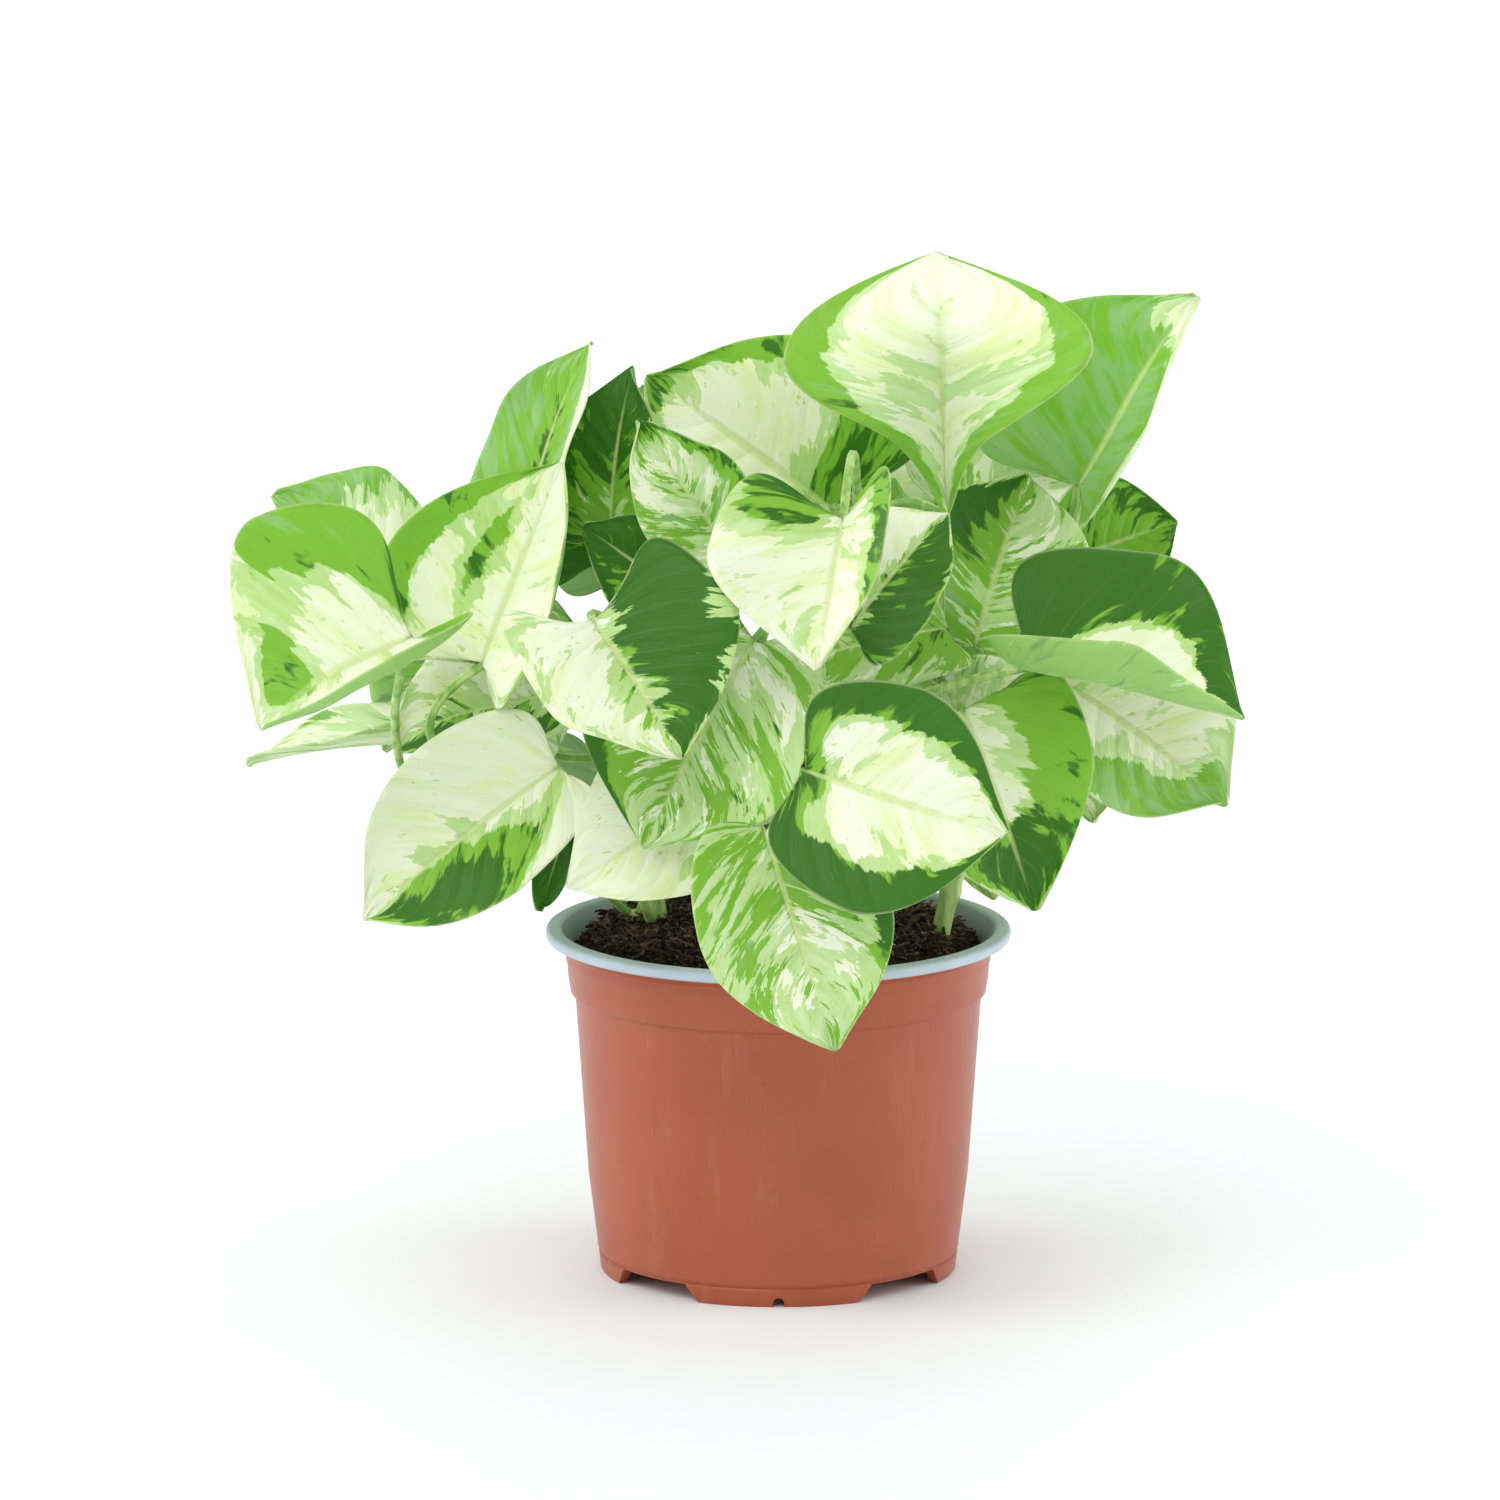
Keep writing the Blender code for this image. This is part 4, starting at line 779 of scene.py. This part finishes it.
        dict(arch=0.1), [(0.5, -0.9, 0.5, 0.35, 1, 0.8), (0.1, 0.3, 0.2, 0.6, 0.6, 0.5)]),
    "leaf_back_c": ("stem_back", 0.65, (-46.1, 68, 148.9), (-80.2, 96, 114.8),
        (-0.3, 0.8, 0.6), 64, "marbled", dict(arch=0.1, sway=(-4, 8, 0)), [(0.4, 0.9, 0.5, 0.3, 0.6, 0.7)]),
    "leaf_back_d": ("stem_back", 0.5, (-2, 72, 128), (-12, 92, 80), (0, 0.95, 0.3), 58, "half", {},
        [(0.6, -0.5, 0.5, 0.5, 0.8, 0.8), (0.4, 0.5, 0.5, 0.4, -0.3, 0.3)]),
    "leaf_back_e": ("stem_back_right", 0.94, (60.3, 69, 168.1), (98.4, 91, 144), (0.4, 0.6, 0.8), 62, "cream",
        dict(arch=0.1, rise=15, sway=(4, 17, -20)),
        [(0.7, 0.5, 0.3, 0.5, 0.9, 0.6), (0.2, -0.8, 0.3, 0.3, 0.6, 0.5)]),
    "leaf_back_f": ("stem_back_right", 0.69, (60.2, 62, 138.9), (84.2, 90, 98.8),
        (0.4, 0.8, 0.4), 58, "marbled", dict(rise=60), []),
    "leaf_back_g": ("stem_back_left", 0.9, (-32, 46, 176), (-34, 66, 220), (-0.1, 0.9, 0.3), 60, "green",
        {}, [(0.5, 0.1, 0.5, 0.4, -0.5, 0.4)]),
    "leaf_back_h": ("stem_back_left", 0.56, (-61.8, 34, 153.5), (-103.7, 54, 125.5),
        (-0.5, 0.6, 0.6), 58, "half", dict(arch=0.1), [(0.4, 0.8, 0.5, 0.4, 0.7, 0.4)]),
    "leaf_back_i": ("stem_middle", 0.9, (20, 37, 194.5), (10, 63, 234.5), (0, 0.9, 0.35), 66, "cream",
        dict(sway=(-14, 7, 0)), [(0.5, 0.9, 0.5, 0.3, 0.9, 0.5), (0.5, -0.9, 0.5, 0.3, 0.8, 0.8)]),
    "leaf_back_j": ("stem_back_left", 0.34, (-42, 50, 120), (-68, 74, 86), (-0.4, 0.9, 0.2), 48, "green",
        {}, [(0.4, -0.4, 0.3, 0.3, -0.6, 0.5)]),
    "leaf_back_k": ("stem_back_right", 0.35, (42, 56, 116), (58, 80, 80), (0.4, 0.9, 0.2), 46, "yellow", {},
        [(0.6, 0.7, 0.4, 0.4, 0.6, 0.5)]),
    "leaf_back_l": ("stem_back", 0.99, (2, 77, 175.5), (36.2, 105, 193.6), (0.2, 0.8, 0.5), 54, "marbled",
        dict(sway=(0, 0, -4)), [(0.5, -0.9, 0.5, 0.3, 0.6, 0.8)]),
    "leaf_right_back": ("stem_back_right", 0.84, (82, 34, 152), (110, 50, 114), (0.7, 0.3, 0.6), 52, "half",
        {}, [(0.5, 0.7, 0.5, 0.4, 0.6, 0.5)]),
}


def unit(vector):
    """A vector, or a table of them, at length 1."""
    vector = np.asarray(vector, float)
    return vector / np.linalg.norm(vector, axis=-1, keepdims=True)


def leaf_axes(leaf):
    """The blade's own directions: along the midrib, to its left, and out of its upper side."""
    along = unit(np.subtract(leaf["tip"], leaf["base"]))
    face = np.asarray(leaf["face"], float)
    out = unit(face - along * face.dot(along))
    return along, np.cross(out, along), out


def blade_surface(leaf, u, v):
    """The blade's middle surface at u along the midrib and v across it, as the solids have it."""
    along, left, out = leaf_axes(leaf)
    length = np.linalg.norm(np.subtract(leaf["tip"], leaf["base"]))
    half = leaf["width"] / 2
    fullest = math.log(0.5) / math.log(leaf["wide"])
    narrowing = np.maximum(0.0, (u - TIP_FROM) / (1 - TIP_FROM)) ** 2
    fullness = np.sin(math.pi * u ** fullest) ** (leaf["shoulder"] + 0.3 * u)
    half_here = half * fullness * (1 - leaf["taper"] * narrowing)
    lobe = leaf["lobe"] * half * np.sin(math.pi * np.minimum(u / LOBE_UNTIL, 1.0) ** LOBE_EASE)
    share = np.abs(v)
    firm = 1 + leaf["flare"] * (1 - 2 * u)
    fold = np.radians(np.where(v > 0, leaf["left"][0], leaf["right"][0])) * firm
    curl = np.radians(np.where(v > 0, leaf["left"][1], leaf["right"][1])) * firm
    curl = np.where(np.abs(curl) < 0.01, 0.01, curl)
    across = (np.sin(fold + curl * share) - np.sin(fold)) / curl
    up = (np.cos(fold) - np.cos(fold + curl * share)) / curl
    bowed = u ** (math.log(0.5) / math.log(leaf["arch_at"]))
    phase = 0.61 * leaf["width"] + 0.37 * length + np.where(v > 0, 0.0, 2.1)
    wave = np.sin(math.tau * WAVES * u + phase) * share * share
    x = length * u - lobe * share ** LOBE_SWEEP
    y = np.sign(v) * half_here * across
    z = half_here * up + leaf["arch"] * length * 4 * bowed * (1 - bowed) + leaf["ripple"] * wave
    base = np.asarray(leaf["base"], float)
    return base + x[..., None] * along + y[..., None] * left + z[..., None] * out


def stem_point(stem, share):
    """The place on a stem's middle line at a share of the way up it."""
    path = smooth_path(STEMS[stem], STEM_STEPS)
    where = share * (len(path) - 1)
    k = min(int(where), len(path) - 2)
    return path[k] + (path[k + 1] - path[k]) * (where - k)


def stalk_path(leaf, steps):
    """The stalk's line, out of its stem and up to the blade's base, which it meets from beneath."""
    along, _, out = leaf_axes(leaf)
    end = np.asarray(leaf["base"], float)
    root = stem_point(leaf["stem"], leaf["height"])
    outward = end - root
    outward[2] = 0
    outward = unit(outward)
    start = root + outward * (STEM_RADIUS + STALK_RADIUS + 0.4)
    rise = math.radians(leaf["rise"])
    arrive = along * math.cos(rise) + out * math.sin(rise)
    reach = np.linalg.norm(end - start)
    sway = np.asarray(leaf["sway"], float)
    second = start + (outward * 0.5 + np.array((0, 0, 1))) * reach * 0.3 + sway
    third = end - arrive * reach * 0.3 + sway
    path = [root + outward * (STEM_RADIUS * 0.5) - np.array((0, 0, 1.5)),
            root + outward * (STEM_RADIUS + 0.6) - np.array((0, 0, 0.6))]
    for k in range(steps + 1):
        t = k / steps
        path.append(start * (1 - t) ** 3 + second * 3 * t * (1 - t) ** 2
                    + third * 3 * t * t * (1 - t) + end * t ** 3)
    return np.array(path)


BLADE_ROWS, BLADE_COLUMNS, STALK_ROWS = 46, 23, 16
MARGIN_WAVE = 1.5
RIB_REACH, RIB_DEPTH = 1.5, 0.95
CREASE_REACH, CREASE_DEPTH = 0.9, 0.28
CHANNEL_DEPTH, CHANNEL_REACH = 0.30, 0.5
ROW_U = (np.arange(1, BLADE_ROWS + 1) / (BLADE_ROWS + 0.35)) ** 1.35
EVEN_V = np.linspace(1, -1, BLADE_COLUMNS)
COLUMN_V = np.sin(EVEN_V * math.pi / 2) * 0.35 + EVEN_V * 0.65


def blade_rings(leaf, seed, u, v):
    """Rings round the blade, upper side then lower: a crease above the midrib and a rib beneath it."""
    middle = blade_surface(leaf, u, v)
    normal = unit(np.cross(np.gradient(middle, axis=0), -np.gradient(middle, axis=1)))
    ripple = np.array([[noise.noise(Vector((a * 3.5, b * 2.0, seed * 5.1))) for b in COLUMN_V]
                       for a in ROW_U])
    middle = middle + normal * (ripple * MARGIN_WAVE * np.abs(v))[..., None]
    reach = np.abs(v) * leaf["width"] / 2
    rib = np.exp(-(reach / RIB_REACH) ** 2) * (1 - u) ** 1.2
    crease = np.exp(-(reach / CREASE_REACH) ** 2) * (1 - u) ** 0.5
    upper = middle + normal * (BLADE_HALF_THICKNESS - CREASE_DEPTH * crease)[..., None]
    lower = middle - normal * (BLADE_HALF_THICKNESS + RIB_DEPTH * rib)[..., None]
    return np.concatenate([upper, lower[:, ::-1]], axis=1)


def stalk_rings(leaf):
    """Rings round the stalk, from its root in the stem up to the blade, with a channel on the upper side."""
    left = leaf_axes(leaf)[1]
    path = stalk_path(leaf, STALK_ROWS)
    turns = math.pi * (np.arange(2 * BLADE_COLUMNS) + 0.5) / BLADE_COLUMNS
    channel = 1 - CHANNEL_DEPTH * np.exp(-((turns - math.pi / 2) / CHANNEL_REACH) ** 2)
    rings = []
    for k, centre in enumerate(path):
        ahead = unit(path[min(k + 1, len(path) - 1)] - path[max(k - 1, 0)])
        side = unit(left - ahead * left.dot(ahead))
        rise = np.cross(ahead, side)
        thick = STALK_RADIUS * (1.0 + 0.35 * math.exp(-k / 2.5))
        rings.append(centre + (side[None] * np.cos(turns)[:, None]
                               + rise[None] * (np.sin(turns) * channel)[:, None]) * thick)
    return np.array(rings)


def keep_pattern(mesh, leaf, seed, u, v):
    """Keep on each point its place on the blade and how green it is, for the leaf's skin to read."""
    on_stalk = len(mesh.vertices) - 2 * u.size - 1

    def per_vertex(values, stalk_value):
        """A value for each point: one for the whole stalk, then the blade's own on both sides and its tip."""
        both = np.concatenate([values, values[:, ::-1]], axis=1).reshape(-1)
        return np.concatenate([np.full(on_stalk, stalk_value), both, values[-1:, BLADE_COLUMNS // 2]])

    green, deep, marble = TONES[leaf["tone"]]
    greens, deeps = np.full(u.shape, green), np.full(u.shape, deep)
    for at_u, at_v, reach_u, reach_v, amount, depth in leaf["patches"]:
        weight = np.exp(-((u - at_u) / reach_u) ** 2 - ((v - at_v) / reach_v) ** 2)
        greens = greens + amount * weight
        deeps = deeps + (depth - deeps) * weight
    count = len(mesh.vertices)
    blade = np.stack([per_vertex(u, 0.0), per_vertex(v, 0.0), np.full(count, float(seed))], axis=-1)
    pattern = np.stack([per_vertex(greens, 0.4), per_vertex(deeps, 0.3),
                        per_vertex(np.full(u.shape, marble), 0.5), np.ones(count)], axis=-1)
    under = np.concatenate([np.zeros(u.shape), np.ones(u.shape)], axis=1)
    under = np.concatenate([np.zeros(on_stalk), under.reshape(-1), [0.0]])
    reach = np.abs(v) * leaf["width"] / 2
    stalk = per_vertex(np.exp(-(u / 0.02) ** 2) * np.exp(-(reach / 2.5) ** 2), 1.0)
    for key, kind, field, values in (
        ("blade", "FLOAT_VECTOR", "vector", blade), ("pattern", "FLOAT_COLOR", "color", pattern),
        ("under", "FLOAT", "value", under), ("stalk", "FLOAT", "value", stalk),
    ):
        layer = mesh.attributes.new(key, kind, "POINT")
        layer.data.foreach_set(field, values.astype(np.float32).reshape(-1))


def leaf_mesh(name, leaf, seed, finish):
    """A closed loft from the stalk's root to the blade's tip."""
    u, v = np.meshgrid(ROW_U, COLUMN_V, indexing="ij")
    rings = np.concatenate([stalk_rings(leaf), blade_rings(leaf, seed, u, v)], axis=0)
    points = np.concatenate([rings.reshape(-1, 3), np.array([leaf["tip"]], float)]) * MM
    count, sides = rings.shape[:2]
    index = np.arange(count * sides).reshape(count, sides)
    ahead = np.roll(index, -1, axis=1)
    quads = np.stack([index[:-1], ahead[:-1], ahead[1:], index[1:]], axis=-1).reshape(-1, 4)
    tip = count * sides
    faces = quads.tolist() + [[a, b, tip] for a, b in zip(index[-1].tolist(), ahead[-1].tolist())]
    faces.append(index[0][::-1].tolist())
    mesh = bpy.data.meshes.new(name)
    mesh.from_pydata(points.tolist(), [], faces)
    mesh.update()
    keep_pattern(mesh, leaf, seed, u, v)
    mesh.materials.append(finish)
    work = bmesh.new()
    work.from_mesh(mesh)
    bmesh.ops.recalc_face_normals(work, faces=work.faces)
    work.to_mesh(mesh)
    work.free()
    mesh.shade_smooth()
    return mesh


def leaf_material():
    """Cream and green leaf skin, read from the place on the blade and the patches kept on its mesh."""
    material, tree, shader = new_material("variegated_leaf")

    def attribute(name):
        return new_node(tree, "ShaderNodeAttribute", dict(attribute_name=name))

    place = new_node(tree, "ShaderNodeSeparateXYZ", Vector=attribute("blade").outputs["Vector"])
    u, v, seed = place.outputs[0], place.outputs[1], place.outputs[2]
    pattern = new_node(tree, "ShaderNodeSeparateColor", Color=attribute("pattern").outputs["Color"])
    green, deep, marble = pattern.outputs[0], pattern.outputs[1], pattern.outputs[2]
    under, stalk = attribute("under").outputs["Fac"], attribute("stalk").outputs["Fac"]
    share = maths(tree, "ABSOLUTE", v)
    side = maths(tree, "SIGN", v)
    vein = maths(tree, "SUBTRACT", u, times(tree, share, 0.33))
    third = plus(tree, times(tree, seed, 7.3), times(tree, side, 3.1))

    def streaks(per_vein, per_width, detail, rough):
        """Noise drawn out along the side veins."""
        at = new_node(tree, "ShaderNodeCombineXYZ", X=times(tree, vein, per_vein),
                      Y=times(tree, share, per_width), Z=third)
        made = new_node(tree, "ShaderNodeTexNoise", Vector=at.outputs[0], Scale=1.0, Detail=detail,
                        Roughness=rough, Distortion=0.35)
        return maths(tree, "SUBTRACT", made.outputs[0], 0.5)

    broad = streaks(6.5, 1.3, 3.0, 0.55)
    brushed = streaks(30.0, 2.2, 4.0, 0.6)
    hair = streaks(110.0, 9.0, 2.0, 0.6)
    fine = plus(tree, times(tree, brushed, 1.3), times(tree, hair, 0.4))
    breaks = plus(tree, times(tree, broad, 1.8), times(tree, fine, marble))
    value = plus(tree, green, times(tree, marble, breaks))
    second = plus(tree, green, times(tree, streaks(8.0, 1.7, 4.0, 0.6), 1.5))
    wash = ramp(tree, second, 0.30, 0.34)
    solid = ramp(tree, value, 0.48, 0.52)
    depth = plus(tree, deep, times(tree, streaks(13.0, 2.2, 3.0, 0.55), 1.1))
    warm = ramp(tree, plus(tree, broad, times(tree, brushed, 0.6)), -0.1, 0.3)
    cream = blend(tree, warm, (0.87, 0.93, 0.71), (0.73, 0.87, 0.40))
    spots = plus(tree, streaks(30.0, 7.0, 3.0, 0.6), times(tree, green, 0.12))
    fleck = times(tree, ramp(tree, spots, 0.17, 0.21), 0.75)
    cream = blend(tree, fleck, cream, (0.47, 0.69, 0.17))
    greens = blend(tree, ramp(tree, depth, 0.02, 0.24), (0.28, 0.50, 0.18), (0.21, 0.46, 0.04))
    greens = blend(tree, ramp(tree, depth, 0.46, 0.56), greens, (0.036, 0.145, 0.008))
    veil = blend(tree, ramp(tree, depth, 0.02, 0.5), (0.54, 0.77, 0.36), (0.36, 0.61, 0.13))
    colour = blend(tree, times(tree, wash, 0.75), cream, veil)
    colour = blend(tree, solid, colour, greens)

    spacing = maths(tree, "FRACT", times(tree, plus(tree, vein, 1.0), 9.0))
    gap = maths(tree, "ABSOLUTE", maths(tree, "SUBTRACT", spacing, 0.5))
    side_vein = times(tree, ramp(tree, gap, 0.07, 0.0), maths(tree, "SUBTRACT", 1.0, share, clamp=True))
    rib = times(tree, ramp(tree, share, 0.05, 0.012), ramp(tree, u, 1.0, 0.5))
    lines = plus(tree, times(tree, side_vein, 0.07), times(tree, rib, 0.7), clamp=True)
    colour = blend(tree, lines, colour, (0.62, 0.76, 0.30))
    edge = times(tree, ramp(tree, share, 0.98, 0.995), 0.25)
    colour = blend(tree, edge, colour, (0.70, 0.74, 0.40))
    colour = blend(tree, times(tree, under, 0.42), colour, (0.42, 0.60, 0.28))
    skin = new_node(tree, "ShaderNodeGroup", dict(node_tree=stalk_skin))
    skin.inputs["Corky"].default_value = 0.12
    colour = blend(tree, stalk, colour, skin.outputs["Colour"])
    tree.links.new(colour, shader.inputs["Base Color"])

    puff = times(tree, maths(tree, "SINE", times(tree, spacing, math.pi)), 0.8)
    height = plus(tree, puff, plus(tree, times(tree, hair, 0.5), times(tree, rib, -0.8)))
    relief = new_node(tree, "ShaderNodeBump", Height=height, Strength=0.5, Distance=0.0009)
    tree.links.new(relief.outputs[0], shader.inputs["Normal"])
    rough = plus(tree, 0.42, plus(tree, times(tree, under, 0.2), times(tree, hair, 0.25)))
    tree.links.new(rough, shader.inputs["Roughness"])
    shader.inputs["Specular IOR Level"].default_value = 0.24
    shader.inputs["Subsurface Weight"].default_value = 0.18
    shader.inputs["Subsurface Radius"].default_value = (0.35, 0.7, 0.15)
    shader.inputs["Subsurface Scale"].default_value = 0.004
    return material


leaf_finish = leaf_material()
for seed, (name, (*placed, own, patches)) in enumerate(LEAVES.items()):
    leaf = {**LEAF_DEFAULTS, **dict(zip(LEAF_COLUMNS, placed)), **own, "patches": patches}
    finish_piece("variegated_" + name, leaf_mesh(name, leaf, seed, leaf_finish), [name])

# ---- floor, light and camera -------------------------------------------------------------------
# A wide white floor that brightens away from the plant, one large soft light over the front, two side
# screens and one light behind.

FLOOR_RADIUS, FLOOR_SEGMENTS = 9.0, 64
LIGHTS_AIM = POT_AXIS + Vector((0, 0, 0.15))
floor_work = bmesh.new()
bmesh.ops.create_circle(floor_work, cap_ends=True, segments=FLOOR_SEGMENTS, radius=FLOOR_RADIUS)
floor = as_object("white_floor", floor_work)
white, tree, shader = new_material("white_floor")
shader.inputs["Base Color"].default_value = (0.90, 0.93, 0.96, 1)
shader.inputs["Roughness"].default_value = 0.7
coords = new_node(tree, "ShaderNodeTexCoord")
away = new_node(tree, "ShaderNodeVectorMath", dict(operation="LENGTH"), in0=coords.outputs["Object"])
glow = times(tree, ramp(tree, away.outputs["Value"], 0.3, 2.6), 0.5)
shader.inputs["Emission Color"].default_value = (0.97, 0.99, 1.0, 1)
tree.links.new(glow, shader.inputs["Emission Strength"])
floor.data.materials.append(white)


def soft_light(name, place, aim, size, power, colour=(1, 1, 1)):
    """A square soft light that looks at a point."""
    lamp = bpy.data.lights.new(name, "AREA")
    lamp.size, lamp.energy, lamp.color = size, power, colour
    made = bpy.data.objects.new(name, lamp)
    made.location = place
    made.rotation_euler = (aim - Vector(place)).to_track_quat("-Z", "Y").to_euler()
    bpy.context.scene.collection.objects.link(made)
    return made


lamps = [
    soft_light("over_front", (-0.5, -1.5, 1.7), LIGHTS_AIM, 1.3, 18),
    soft_light("left_screen", (-1.4, -0.1, 0.6), LIGHTS_AIM, 1.1, 9),
    soft_light("right_screen", (1.4, -0.1, 0.6), LIGHTS_AIM, 1.1, 9),
    soft_light("behind", (0.2, 1.3, 1.4), LIGHTS_AIM, 1.2, 11),
]
surround = bpy.data.worlds.new("white_room")
bpy.context.scene.world = surround
surround.use_nodes = True
surround.node_tree.nodes["Background"].inputs["Color"].default_value = (1.0, 1.0, 1.0, 1)
surround.node_tree.nodes["Background"].inputs["Strength"].default_value = 0.6
bpy.context.scene.view_settings.view_transform = "Standard"

# The camera stands well back and a little above the rim, so the leaves show almost without perspective.
CAMERA_REACH, CAMERA_SIDE, AIM_HEIGHT, CAMERA_SLOPE = 2600.0, -7.3, 136.0, 0.193
FRAME_WIDTH, SENSOR_WIDTH = 385.5, 36.0
camera = bpy.data.objects.new("camera", bpy.data.cameras.new("camera"))
camera_height = AIM_HEIGHT + CAMERA_SLOPE * CAMERA_REACH
camera.location = POT_AXIS + Vector((CAMERA_SIDE, -CAMERA_REACH, camera_height)) * MM
aim = POT_AXIS + Vector((CAMERA_SIDE, 0, AIM_HEIGHT)) * MM
camera.rotation_euler = (aim - camera.location).to_track_quat("-Z", "Y").to_euler()
camera.data.sensor_width = SENSOR_WIDTH
camera.data.lens = SENSOR_WIDTH * (aim - camera.location).length / MM / FRAME_WIDTH
camera.data.clip_end = 20.0
bpy.context.scene.collection.objects.link(camera)
bpy.context.scene.camera = camera
